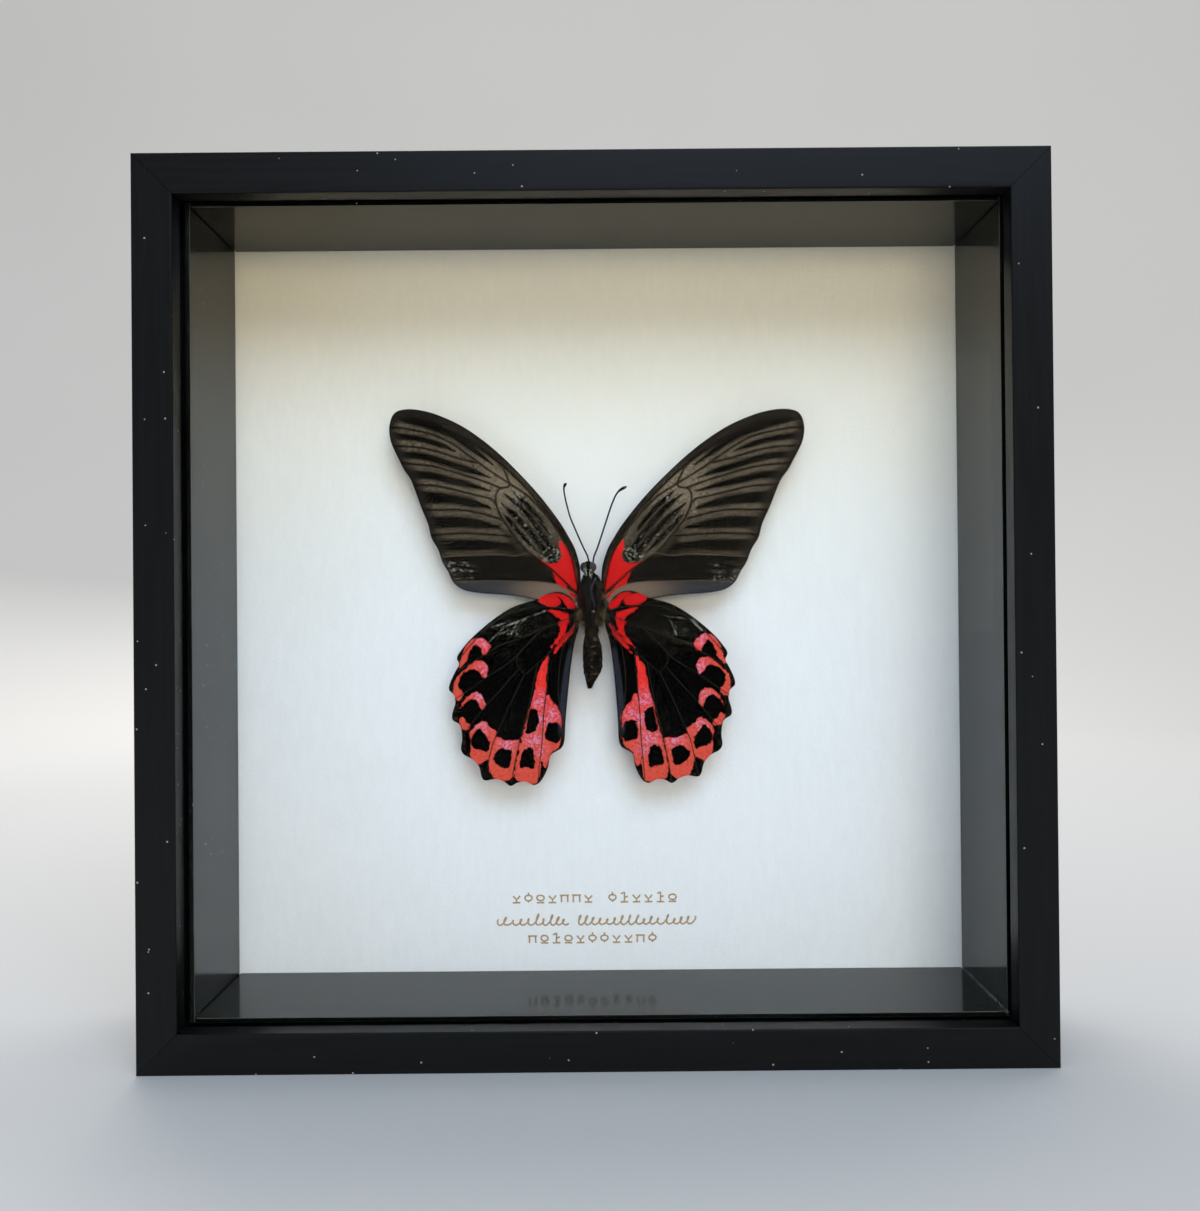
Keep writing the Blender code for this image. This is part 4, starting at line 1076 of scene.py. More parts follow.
def cut_sheet(name, knots):
    """A thin sheet of square cells with a wing's outline, in millimetres, facing -Y."""
    low, high = np.min(knots, axis=0) - BORDER, np.max(knots, axis=0) + BORDER
    across, tall = ((high - low) / CELL).astype(int)
    bpy.ops.object.select_all(action="DESELECT")
    bpy.ops.mesh.primitive_grid_add(
        x_subdivisions=across, y_subdivisions=tall, size=1,
        location=((low[0] + high[0]) / 2, 0, (low[1] + high[1]) / 2), rotation=(pi / 2, 0, 0))
    sheet = bpy.context.object
    sheet.scale = (high[0] - low[0], high[1] - low[1], 1)
    settle(sheet, name)
    skin = sheet.modifiers.new("skin", "SOLIDIFY")
    skin.thickness, skin.offset = SHEET, 0
    plate = outline_plate(knots)
    trim = sheet.modifiers.new("trim", "BOOLEAN")
    trim.operation, trim.solver, trim.object = "INTERSECT", "MANIFOLD", plate
    apply_modifiers(sheet)
    bpy.data.objects.remove(plate)
    return sheet


print("cells across a forewing:", int(np.ptp(np.array(FOREWING)[:, 0]) / CELL))

# %% [markdown]
# A vein is a stiff tube that tapers outwards. A curve with a round section gives it, with a radius at
# each of its points, and becomes a mesh at once. The same helper later makes legs, antennae and ink.

# %% Veins and pleats
PLEAT = 0.24                               # how far the skin rises to its veins
PLEAT_WIDTH = 1.1                          # how far from a vein the skin is still raised
VEIN_RADII = {"edge": 0.3, "cell_top": 0.26, "cell_foot": 0.26, "short": 0.14}
VEIN_RADIUS, VEIN_TIP, VEIN_SIDES = 0.19, 0.55, 6


def coordinates(obj):
    """The corners of a mesh, one in a row."""
    co = np.empty(len(obj.data.vertices) * 3)
    obj.data.vertices.foreach_get("co", co)
    return co.reshape(-1, 3)


def move_corners(obj, places):
    obj.data.vertices.foreach_set("co", places.ravel())


def note(obj, key, values):
    """Keeps a number for each corner of the mesh, for the finish to read."""
    kept = obj.data.attributes.new(key, "FLOAT", "POINT")
    kept.data.foreach_set("value", values.astype(np.float32))


def curve_mesh(name, lines, radius=0.0, sides=8, radii=None):
    """Lines through points as a mesh; with a radius they are round tubes."""
    curve = bpy.data.curves.new(name, "CURVE")
    curve.dimensions = "3D"
    curve.bevel_depth = radius
    curve.bevel_resolution = sides // 2 - 2
    curve.use_fill_caps = radius > 0
    for number, line in enumerate(lines):
        spline = curve.splines.new("POLY")
        spline.points.add(len(line) - 1)
        spline.points.foreach_set("co", np.c_[line, np.ones(len(line))].ravel())
        if radii is not None:
            spline.points.foreach_set("radius", radii[number])
    made = bpy.data.objects.new(name, curve)
    bpy.context.scene.collection.objects.link(made)
    only(made)
    bpy.ops.object.convert(target="MESH")
    return made


def pleat(spots, veins):
    """How far the skin stands towards the viewer: up at the veins, down between them."""
    gap = np.min([distance(spots, path)[0] for path in veins.values()], axis=0)
    return PLEAT * np.exp(-(gap / PLEAT_WIDTH) ** 2)


def vein_tube(name, path, radius, veins):
    """A tapering tube along a vein, lying on the pleated sheet."""
    depths = -pleat(path, veins) - SHEET / 2
    taper = np.linspace(1.0, VEIN_TIP, len(path))
    return curve_mesh(name, [np.c_[path[:, 0], depths, path[:, 1]]], radius, VEIN_SIDES, [taper])


print("a pleat rises", PLEAT, "mm over a skin of", SHEET, "mm")

# %% [markdown]
# Sheet and veins become one piece, which still lies flat on the drawing. Only then is it spread,
# bowed and put in its place on the object, so that both wings of a pair come from one drawing.

# %% Making the four wings
FOREWING_KIND = (FOREWING, FOREWING_VEINS, forewing_marks, FOREWING_FINISH, "forewing_scales")
HINDWING_KIND = (HINDWING, HINDWING_VEINS, hindwing_marks, HINDWING_FINISH, "hindwing_scales")
FOREWING_DEPTH, HINDWING_DEPTH = 38.9, 38.1    # millimetres behind the rails' face, at the root
FOREWING_RAKE = 0.018                          # how much nearer a forewing comes as it rises


def make_wing(name, node, side, kind, depth, rake, spread, rubbed):
    knots, vein_knots, marks, finish, slot = kind
    veins = {key: soft_path(value) for key, value in vein_knots.items()}
    sheet = cut_sheet(name, knots)
    co = coordinates(sheet)
    co[:, 1] -= pleat(co[:, [0, 2]], veins)
    move_corners(sheet, co)
    tubes = [vein_tube(f"{name}_{key}", path, VEIN_RADII.get(key, VEIN_RADIUS), veins)
             for key, path in veins.items()]
    wing = joined(name, [sheet, *tubes])
    co = coordinates(wing)
    spots = co[:, [0, 2]].copy()
    for key, values in marks(spots, veins, rubbed).items():
        note(wing, key, values)
    stretch, slant, rise, shift = spread
    out = stretch * spots[:, 0] + slant * spots[:, 1] + shift
    up = spots[:, 1] + rise * spots[:, 0]
    bowed = depth + WING_BOW * (out / WING_SPAN) ** 2 - rake * up
    move_corners(wing, on_object(side * out, up, bowed + co[:, 1]))
    if side < 0:
        edit(wing)
        bpy.ops.mesh.flip_normals()
        done()
    wing.data.update()
    return finish_piece(wing, finish, slot, node, smooth=50)


# Scratches where scales are rubbed off: a path and half its width, in millimetres
LEFT_FORE_RUBS = [([(24.5, 30.5), (22.0, 28.2), (20.0, 26.0)], 0.06), ([(19.6, 25.3), (17.0, 21.5)], 0.02),
                  ([(22.8, 33.0), (21.2, 31.2)], 0.1)]
RIGHT_FORE_RUBS = [([(14.0, 27.5), (13.0, 25.5)], 0.25), ([(18.5, 30.5), (17.8, 29.6)], 0.15),
                   ([(30.0, 27.2), (29.4, 26.8)], 0.15)]
LEFT_HIND_RUBS = [
    ([(14.1, -3.2), (21.8, -6.2), (26.3, -8.0), (31.6, -12.8)], 0.14),
    ([(22.7, -6.8), (25.5, -12.0)], 0.12),
    ([(30.3, -8.0), (24.8, -6.2)], 0.1), ([(27.9, -10.1), (23.0, -8.0), (18.7, -4.4)], 0.08),
]
RIGHT_HIND_RUBS = [
    ([(20.0, -4.4), (23.1, -5.7), (30.1, -6.9), (32.2, -9.4)], 0.05), ([(23.1, -6.3), (25.8, -11.8)], 0.05),
    ([(30.1, -6.9), (33.1, -10.0)], 0.3),
]
for word, side, fore, hind, fore_rubs, hind_rubs in (
    ("left", -1, AS_DRAWN, AS_DRAWN, LEFT_FORE_RUBS, LEFT_HIND_RUBS),
    ("right", 1, RIGHT_FOREWING, RIGHT_HINDWING, RIGHT_FORE_RUBS, RIGHT_HIND_RUBS),
):
    make_wing(f"dusted_forewing_{word}", f"forewing_{word}", side, FOREWING_KIND, FOREWING_DEPTH,
              FOREWING_RAKE, fore, fore_rubs)
    make_wing(f"scalloped_hindwing_{word}", f"hindwing_{word}", side, HINDWING_KIND, HINDWING_DEPTH,
              0, hind, hind_rubs)

# %% [markdown]
# ## The body
#
# The body is a furry thorax with a small head, and an abdomen of plates that overlap like roof tiles.
# Its plain solid has the same swellings. A formula gives the profile: head, thorax and abdomen are
# three round swellings, and each plate of the abdomen ends in a small step.

# %% Shape of the body
BODY_DEPTH = 36.2                          # millimetres from the rails' face to the body's axis
BODY_TOP, BODY_END = 11.9, -26.8
ABDOMEN_TOP, PLATES = -8.0, 9
HEAD = (11.9, 7.6, 1.75, 2.2)              # top, end, radius and fullness
THORAX = (8.8, -9.4, 3.75, 2.4)
ABDOMEN = (-5.0, -27.4, 3.05, 3.0)
NECK_RADIUS = 1.3
HEAD_SHIFT, WAIST_SHIFT, TIP_SHIFT = -0.75, 0.3, -0.95    # the dried body leans to both sides


def swelling(up, top, end, radius, fullness):
    """The radius of a round part between two heights; a higher fullness makes it blunter."""
    reach = np.abs((2 * up - top - end) / (top - end))
    return radius * np.sqrt(np.clip(1 - reach ** fullness, 0, 1))


def plates_down(up):
    """How many plates of the abdomen lie above a height; the fraction runs down the last one."""
    return (ABDOMEN_TOP - up) / (ABDOMEN_TOP - BODY_END) * PLATES


def body_radius(up):
    """Half the body's width, in millimetres, at heights along its axis."""
    head = swelling(up, *HEAD)
    thorax = swelling(up, *THORAX)
    abdomen = swelling(up, *ABDOMEN) * (1 - 0.6 * ramp(up, -20.0, -27.2) ** 1.2)
    along = plates_down(up)
    abdomen *= np.where(along > 0, 0.93 + 0.07 * np.clip(along % 1, 0, 0.9) / 0.9, 1)
    neck = np.where((up < 10) & (up > -9), NECK_RADIUS, 0)
    abdomen *= 1 - 0.26 * ramp(up, -15.0, -10.5)
    return np.max([head, thorax, abdomen, neck], axis=0)


def lean(up):
    """How far the axis is shifted at a height, in millimetres, at the head, the waist and the tip."""
    waist = WAIST_SHIFT * ramp(up, -11, -16)
    return HEAD_SHIFT * ramp(up, 6.5, 9.5) + waist + TIP_SHIFT * ramp(up, -20, -27)


def turned(name, profile, sides):
    """A profile of (radius, height) in millimetres, spun about the upright axis of the specimen."""
    line = np.array([(radius, 0, height) for radius, height in profile]) * MM
    made = curve_mesh(name, [line])
    spin = made.modifiers.new("turned", "SCREW")
    spin.axis, spin.steps, spin.render_steps = "Z", sides, sides
    spin.use_merge_vertices, spin.merge_threshold = True, 0.00001
    apply_modifiers(made)
    edit(made)
    bpy.ops.mesh.normals_make_consistent(inside=False)
    done()
    return made


widest = 2 * body_radius(np.linspace(BODY_TOP, BODY_END, 100)).max()
print(f"body: {BODY_TOP - BODY_END:.1f} mm long and {widest:.1f} mm wide")

# %% [markdown]
# The profile is spun round the axis with a Screw modifier. The core is then pushed about a little by
# soft noise, because a dried body is never round. Each corner notes how far down its plate it lies,
# so that the finish can put gold at a plate's end and black in the seam.

# %% Core of the body
CORE_SIDES = 48
FLATTENED = 0.94                           # the body's depth against its width
front_part = np.linspace(BODY_TOP, ABDOMEN_TOP, 70)
heights = np.concatenate([front_part, np.linspace(ABDOMEN_TOP, BODY_END, 110)[1:]])
core = turned("plated_body", list(zip(body_radius(heights), heights)), CORE_SIDES)
co = coordinates(core)
up = co[:, 2] / MM
angle = np.arctan2(co[:, 1], co[:, 0])
lumps = speckle(np.c_[angle * 1.6 + 9, up + 40], 1.1, 11) - 0.5
wrinkles = speckle(np.c_[angle * 6 + 30, up * 3 + 120], 0.7, 12) - 0.5
co[:, :2] *= (1 + 0.07 * lumps + 0.03 * wrinkles)[:, None]
co[:, 1] *= FLATTENED
co[:, 0] += lean(up) * MM
move_corners(core, co + on_object(0, 0, BODY_DEPTH))
note(core, "plate", np.where(up < ABDOMEN_TOP, plates_down(up) % 1, 0))

BODY_BLACK, BODY_BROWN, BODY_GOLD = (0.0014, 0.0011, 0.0009), (0.0055, 0.0034, 0.0024), (0.17, 0.11, 0.055)
SEAM_BLACK = (0.001, 0.001, 0.001)
BODY_SCALES, tree, shader = new_finish("brown_body_scales", Roughness=0.55, Specular_IOR_Level=0.05)
grain = use(tree, scales, Vector=where(tree), Grain=2400.0)
patches = noise(tree, where(tree), 900.0, 3.0)
golden = step(tree, plus(tree, grain["Grains"], times(tree, patches, 0.5)), 1.0, 1.14)
late = step(tree, attribute(tree, "plate"), 0.45, 0.9)
seam = step(tree, attribute(tree, "plate"), 0.08, 0.0)
base = mixed(tree, patches, BODY_BLACK, BODY_BROWN)
base = over(tree, base, BODY_GOLD, golden, plus(tree, 0.1, times(tree, late, 0.5)))
paint(tree, shader, over(tree, base, SEAM_BLACK, seam, 0.8))
bumped(tree, shader, grain["Height"], 0.05 * MM, 0.7)
finish_piece(core, BODY_SCALES, "body_hair", "butterfly_body", smooth=60)

# %% [markdown]
# The eyes are big domes of tiny facets, so their finish has facets in its bump. Two fuzzy palps stand
# in front of the face, and the legs are folded over the thorax. A leg has a thick thigh, a thinner
# shin and a foot of short links, which the radius along each tube follows.

# %% Eyes
EYES = [(-2.05, 9.95, 0.5), (0.5, 9.95, 0.7)]     # outwards, up and forward of the body's axis
EYE_RADIUS, EYE_SHAPE = 1.38, (1.08, 0.92, 0.86)
EYE_BLUE, EYE_PAINTED_GLINT, EYE_PAINTED_SHADE = (0.034, 0.038, 0.052), (0.13, 0.025, 0.020), (0.008, 0.008, 0.009)


def dome(name, place, radius, shape, segments, rings, turn=0.0):
    """A ball at a place on the specimen, turned about the viewer's axis and then drawn out."""
    out, up, forward = place
    bpy.ops.object.select_all(action="DESELECT")
    bpy.ops.mesh.primitive_uv_sphere_add(
        segments=segments, ring_count=rings, radius=radius * MM, rotation=(0, turn, 0),
        location=on_object(out, up, BODY_DEPTH - forward).tolist())
    bpy.context.object.scale = shape
    return settle(bpy.context.object, name)


eyes = [dome(f"eye_{number}", place, EYE_RADIUS, EYE_SHAPE, 40, 24, pi / 2)
        for number, place in enumerate(EYES)]
EYE, tree, shader = new_finish("faceted_eye", Roughness=0.35, Specular_IOR_Level=0.3)
facets = add(tree, "TexVoronoi", {"Vector": where(tree), "Scale": 9000.0}).outputs["Distance"]
# painted glint: reddish patches over the blue-grey of the eyes
sheen = step(tree, noise(tree, where(tree), 700.0, 2.0), 0.52, 0.68)
across = add(tree, "SeparateXYZ", {0: where(tree)}).outputs[0]
# painted shade: the left eye is made nearly black
left_eye_painted_shade = step(tree, across, AXIS_X - 0.6 * MM, AXIS_X - 1.3 * MM)
paint(tree, shader, mixed(tree, left_eye_painted_shade, mixed(tree, sheen, EYE_BLUE, EYE_PAINTED_GLINT), EYE_PAINTED_SHADE))
bumped(tree, shader, facets, 0.04 * MM, 0.6)
finish_piece(joined("compound_eyes", eyes), EYE, "body_hair", "butterfly_body", smooth=60)

# %% [markdown]
# Legs and palps are tubes whose radius follows a formula along their length: a bulge for the thigh, a
# slighter one for the shin, and a row of small ones for the links of the foot.

# %% Legs and palps
LEGS = [                                   # knots are outwards, up and forward of the body's axis
    [(-1.4, 4.8, 2.2), (-0.9, 6.2, 3.7), (-0.4, 4.3, 4.0), (-0.3, 1.9, 4.2), (-0.4, -0.5, 4.2),
     (-0.5, -2.4, 4.0)],
    [(1.4, 5.4, 2.2), (1.3, 6.5, 3.3), (0.6, 4.9, 4.0), (0.0, 2.9, 4.3), (0.6, 0.2, 4.2), (1.4, -2.2, 4.0)],
    [(-1.9, 1.6, 2.6), (-1.9, 4.6, 3.4), (-1.4, 1.8, 3.9), (-1.3, -1.2, 3.9), (-1.1, -3.6, 3.9),
     (-1.0, -5.4, 3.7)],
    [(2.2, 1.2, 2.2), (2.3, 5.2, 2.9), (2.2, 1.6, 3.5), (2.4, -1.4, 3.5), (2.0, -4.0, 3.5),
     (1.8, -6.0, 3.2)],
]
LEG_RADII = (0.36, 0.27, 0.36, 0.36)
HIGHLIGHT_LEG = 1                               # this one carries a painted blue-grey highlight
PALPS = [[(-1.5, 9.6, 1.6), (-1.75, 8.9, 2.7), (-1.6, 8.0, 3.2), (-1.2, 7.3, 3.3)],
         [(-0.1, 9.3, 1.6), (-0.1, 8.5, 2.8), (0.0, 7.6, 3.4), (0.1, 6.6, 3.5)]]
PALP_RADIUS = 0.4


def limb(name, knots, radius, shape, parts=12, sides=10):
    """A tube through (out, up, forward) knots, with a radius that follows its length."""
    path = soft_path(knots, parts=parts)
    share = np.linspace(0, 1, len(path))
    line = on_object(path[:, 0], path[:, 1], BODY_DEPTH - path[:, 2])
    return curve_mesh(name, [line], radius * MM, sides, [shape(share)])


def leg_shape(share):
    thigh = 1.25 * np.exp(-((share - 0.12) / 0.13) ** 2)
    shin = 0.72 + 0.25 * np.exp(-((share - 0.42) / 0.12) ** 2)
    links = np.where(share > 0.6, 0.13 * np.abs(np.sin(share * pi * 13)), 0)
    return np.maximum(thigh, shin - 0.28 * share + links)


def palp_shape(share):
    return 0.55 + 0.75 * np.sin(pi * np.clip(share * 0.92, 0, 1)) ** 0.8


limbs = [limb(f"leg_{number}", knots, radius, leg_shape)
         for number, (knots, radius) in enumerate(zip(LEGS, LEG_RADII))]
for number, leg in enumerate(limbs):
    note(leg, "bare_skin_and_leg_highlight", np.full(len(leg.data.vertices), float(number == HIGHLIGHT_LEG)))
LEG_BLACK, LEG_BROWN, LEG_PAINTED_HIGHLIGHT = (0.002, 0.002, 0.002), (0.010, 0.009, 0.009), (0.060, 0.068, 0.085)
LEG_SHELL, tree, shader = new_finish("dark_leg_shell", Roughness=0.4, Specular_IOR_Level=0.06)
tone = noise(tree, where(tree), 1600.0, 3.0)
# painted highlight: blue-grey patches along the one leg
wear_and_leg_highlight = times(tree, step(tree, tone, 0.35, 0.6), attribute(tree, "bare_skin_and_leg_highlight"))
paint(tree, shader, mixed(tree, wear_and_leg_highlight, mixed(tree, tone, LEG_BLACK, LEG_BROWN), LEG_PAINTED_HIGHLIGHT))
bumped(tree, shader, tone, 0.03 * MM, 0.5)
finish_piece(joined("folded_legs", limbs), LEG_SHELL, "body_hair", "butterfly_body", smooth=60)

palps = [limb(f"palp_{number}", knots, PALP_RADIUS, palp_shape) for number, knots in enumerate(PALPS)]
PALP_SCALES, tree, shader = new_finish("pale_palp_scales", Roughness=0.7, Specular_IOR_Level=0.1)
tone = noise(tree, where(tree), 2200.0, 3.0)
paint(tree, shader, mixed(tree, step(tree, tone, 0.48, 0.6), (0.012, 0.009, 0.007), (0.42, 0.38, 0.28)))
bumped(tree, shader, tone, 0.05 * MM, 0.7)
finish_piece(joined("fuzzy_palps", palps), PALP_SCALES, "body_hair", "butterfly_body", smooth=60)

# %% [markdown]
# Where the hindwings join the body, a small plate sits on each side; its pale blue is a painted glint.

# %% Hinge plates
HINGES = [(-3.95, -0.9, -0.4), (3.9, -0.95, -0.4)]
HINGE_RADIUS, HINGE_SHAPE = 0.6, (0.75, 0.6, 1.2)
plates = [dome(f"hinge_{number}", place, HINGE_RADIUS, HINGE_SHAPE, 20, 12)
          for number, place in enumerate(HINGES)]
HINGE_PAINTED_GLINT, tree, shader = new_finish("hinge_painted_glint", Roughness=0.3)
tone = noise(tree, where(tree), 1800.0, 3.0)
# painted glint: pale blue patches on the hinge plates
paint(tree, shader, mixed(tree, step(tree, tone, 0.35, 0.6), (0.05, 0.06, 0.08), (0.24, 0.33, 0.46)))
bumped(tree, shader, tone, 0.03 * MM, 0.4)
finish_piece(joined("hinge_plates", plates), HINGE_PAINTED_GLINT, "body_hair", "butterfly_body", smooth=60)

# %% [markdown]
# The fur is thousands of separate hairs. One hair is modelled as a long three-sided cone, cut once
# across so that it can bend. It is then planted all over the core: long and shaggy on the thorax, in
# tufts over the wing roots, short and flat on the abdomen, and ragged at its tip.

# %% One hair, planted many times
HAIR_RADIUS, HAIR_SEED = 0.034, 20
bpy.ops.object.select_all(action="DESELECT")
bpy.ops.mesh.primitive_cone_add(vertices=3, radius1=1, radius2=0, depth=1, location=(0, 0, 0.5))
one_hair = settle(bpy.context.object, "one_hair")
edit(one_hair)
bpy.ops.mesh.bisect(plane_co=(0, 0, 0.5), plane_no=(0, 0, 1))
done()
hair_points = coordinates(one_hair)
hair_faces = [tuple(face.vertices) for face in one_hair.data.polygons]
bpy.data.objects.remove(one_hair)
DOWN = np.array([0, 0, -1.0])


def plant(rng, count, top, end, length, lift, droop, angles=(0, 2 * pi)):
    """Roots, directions, bends and lengths of hairs on a stretch of the body; +Y is the card's side."""
    up = rng.uniform(end, top, count)
    angle = rng.uniform(*angles, count)
    radius = body_radius(up) * 0.97
    outward = np.c_[np.cos(angle), FLATTENED * np.sin(angle), np.zeros(count)]
    root = np.c_[radius * outward[:, 0] + lean(up), radius * outward[:, 1], up]
    stray = rng.normal(0, 0.28, (count, 3))
    way = unit(unit(outward) * lift + DOWN + stray)
    return root, way, unit(stray + DOWN) * droop, rng.uniform(*length, count)


rng = np.random.default_rng(HAIR_SEED)
beds = [
    plant(rng, 3400, 8.2, -9.6, (0.7, 1.7), 0.75, 0.35),                          # thorax
    plant(rng, 600, 10.8, 7.4, (0.4, 0.9), 0.9, 0.3),                             # head
    plant(rng, 650, 4.0, -7.5, (1.4, 2.5), 1.8, 0.3, (-0.7, 0.5)),                # right wing roots
    plant(rng, 650, 4.0, -7.5, (1.4, 2.5), 1.8, 0.3, (pi - 0.5, pi + 0.7)),       # left wing roots
    plant(rng, 800, -9.0, -25.6, (0.3, 0.6), 0.25, 0.1),                          # abdomen
    plant(rng, 150, -24.6, -26.5, (0.5, 1.1), 0.2, 0.2),                          # its tip
]
root, way, bend, length = (np.concatenate(parts) for parts in zip(*beds))
side_a = unit(np.cross(way, rng.normal(0, 1, way.shape)))
side_b = np.cross(way, side_a)
thin = HAIR_RADIUS * rng.uniform(0.7, 1.3, len(root))
points = []
for x, y, along in hair_points:
    ring = (side_a * x + side_b * y) * (thin * (1 if along < 0.25 else 0.8))[:, None]
    points.append(root + way * (length * along)[:, None] + bend * (length * along ** 2)[:, None] + ring)
points = np.stack(points, axis=1).reshape(-1, 3)
each = len(hair_points)
faces = [tuple(corner + each * number for corner in face)
         for number in range(len(root)) for face in hair_faces]
fur_mesh = bpy.data.meshes.new("body_fur")
fur_mesh.from_pydata(on_object(points[:, 0], points[:, 2], BODY_DEPTH + points[:, 1]), [], faces)
fur = bpy.data.objects.new("body_fur", fur_mesh)
bpy.context.scene.collection.objects.link(fur)
print(len(root), "hairs planted")

# %% [markdown]
# Most hairs are nearly black. Golden ones stand in tufts near the wing roots and at each plate's end,
# and some on the left are rusty. Each hair keeps one shade from root to tip.

# %% Colours of the fur
GOLD_TUFTS = [(-3.5, -3.9, 1.9), (3.4, -3.7, 2.0), (3.2, 1.5, 1.6), (-2.6, -6.5, 1.3), (1.8, -6.0, 1.5),
              (2.6, 5.0, 1.2)]             # outwards, up and reach in millimetres
RUST_TUFT = (-2.9, 0.8, 2.2)
FUR_BLACK, FUR_BROWN = (0.0014, 0.0010, 0.0008), (0.016, 0.0078, 0.0046)
FUR_RUST, FUR_GOLD = (0.075, 0.014, 0.007), (0.27, 0.175, 0.085)


def tuft(x, z, size):
    """1 for the hairs in the middle of a tuft, and less with the distance from it."""
    return np.exp(-((root[:, 0] - x) ** 2 + (root[:, 2] - z) ** 2) / size ** 2)


hairs, up = len(root), root[:, 2]
gold = np.max([tuft(*place) for place in GOLD_TUFTS], axis=0)
shade = np.clip(rng.beta(1.0, 5.5, hairs) + 1.05 * gold * rng.uniform(0.05, 1, hairs), 0, 1)
on_abdomen = up < -9
plate_end = ramp(plates_down(up) % 1, 0.7, 0.95)
shade = np.where(on_abdomen, shade * 0.3 + 0.85 * plate_end * rng.uniform(0, 1, hairs) ** 3, shade)
shade *= 1 - 0.8 * ramp(up, -20.5, -22.5)
front = ramp(-root[:, 1], 1.8, 3.2) * ramp(np.abs(root[:, 0] + 0.6), 2.4, 1.2)
shade = np.where(on_abdomen, shade, shade * (1 - 0.85 * front * ramp(up, -4, -1)))
note(fur, "shade", np.repeat(shade, each))
note(fur, "rust", np.repeat(tuft(*RUST_TUFT) * rng.uniform(0, 1, hairs), each))

FUR, tree, shader = new_finish("brown_fur", Roughness=0.6, Specular_IOR_Level=0.0)
tone = attribute(tree, "shade")
base = mixed(tree, step(tree, tone, 0.12, 0.5), FUR_BLACK, FUR_BROWN)
base = mixed(tree, attribute(tree, "rust"), base, FUR_RUST)
paint(tree, shader, mixed(tree, step(tree, tone, 0.5, 0.95), base, FUR_GOLD))
finish_piece(fur, FUR, "body_hair", "butterfly_body", smooth=80)

# %% [markdown]
# ## Antennae and pin
#
# An antenna is a chain of short rings that ends in a club. Its radius swells at every ring, finely
# enough to be felt more than seen, and it arches a little towards the viewer.

# %% Antennae
LEFT_ANTENNA = [(-0.5, 10.9), (-1.0, 13.3), (-1.9, 15.2), (-3.3, 18.3), (-5.0, 22.3), (-6.2, 25.3),
                (-7.1, 28.7), (-7.7, 31.4), (-8.0, 33.6), (-7.8, 34.8), (-7.2, 35.5)]
RIGHT_ANTENNA = [(0.6, 10.9), (1.0, 13.3), (1.9, 15.4), (2.8, 18.0), (3.8, 21.0), (5.1, 24.9), (6.6, 29.2),
                 (7.9, 32.0), (9.2, 33.4), (11.1, 34.4)]
ANTENNA_RADIUS = 0.33
ANTENNA_RINGS = 46
ARCH, ARCH_BACK = 0.8, 0.6                 # millimetres forward at its middle, and back at its ends


def antenna_shape(share):
    rings = 0.10 * np.abs(np.sin(pi * ANTENNA_RINGS * share))
    club = 0.62 * np.exp(-((share - 0.93) / 0.075) ** 2)
    return 0.72 + rings + club - 0.6 * np.exp(-((share - 1.01) / 0.03) ** 2)


CHITIN, tree, shader = new_finish("dark_chitin", Roughness=0.5, Specular_IOR_Level=0.12)
tone = noise(tree, where(tree), 1300.0, 3.0)
tone_step = step(tree, tone, 0.4, 0.65)
paint(tree, shader, mixed(tree, tone_step, (0.004, 0.0035, 0.0035), (0.010, 0.008, 0.007)))
bumped(tree, shader, tone, 0.02 * MM, 0.4)
for word, knots in (("left", LEFT_ANTENNA), ("right", RIGHT_ANTENNA)):
    arched = [(out, up, ARCH * sin(pi * number / (len(knots) - 1)) - ARCH_BACK)
              for number, (out, up) in enumerate(knots)]
    feeler = limb(f"ringed_antenna_{word}", arched, ANTENNA_RADIUS, antenna_shape, 24, 8)
    finish_piece(feeler, CHITIN, "body_hair", f"antenna_{word}", smooth=60)

# %% [markdown]
# The pin is turned: a small rounded head of dark red enamel with a painted pale glint at its front, a
# straight shank that passes through the thorax and into the card, and a long point.

# %% Pin
PIN_OUT, PIN_UP, PIN_FRONT = 0.7, -3.5, 31.6
PIN_RADIUS, PIN_HEAD = 0.25, 0.35
PIN_LENGTH, PIN_TAPER, PIN_POINT = 17.6, 1.6, 0.7     # the last two are lengths above the tip
dome_line = [(PIN_HEAD * sin(turn), PIN_HEAD * (cos(turn) - 1)) for turn in np.linspace(0, pi * 0.8, 12)]
shank = [(PIN_RADIUS, -2 * PIN_HEAD), (PIN_RADIUS, PIN_TAPER - PIN_LENGTH),
         (PIN_RADIUS * 0.6, PIN_POINT - PIN_LENGTH), (0, -PIN_LENGTH)]
pin = turned("insect_pin_turned", dome_line + shank, 32)
pin.data.transform(Matrix.Rotation(pi / 2, 4, "X"))
pin.data.transform(Matrix.Translation(on_object(PIN_OUT, PIN_UP, PIN_FRONT)))
PIN_STEEL, tree, shader = new_finish("enamelled_pin")
depth = add(tree, "SeparateXYZ", {0: where(tree)}).outputs[1]
bead = step(tree, depth, FACE + (PIN_FRONT + 1.0) * MM, FACE + (PIN_FRONT + 0.8) * MM)
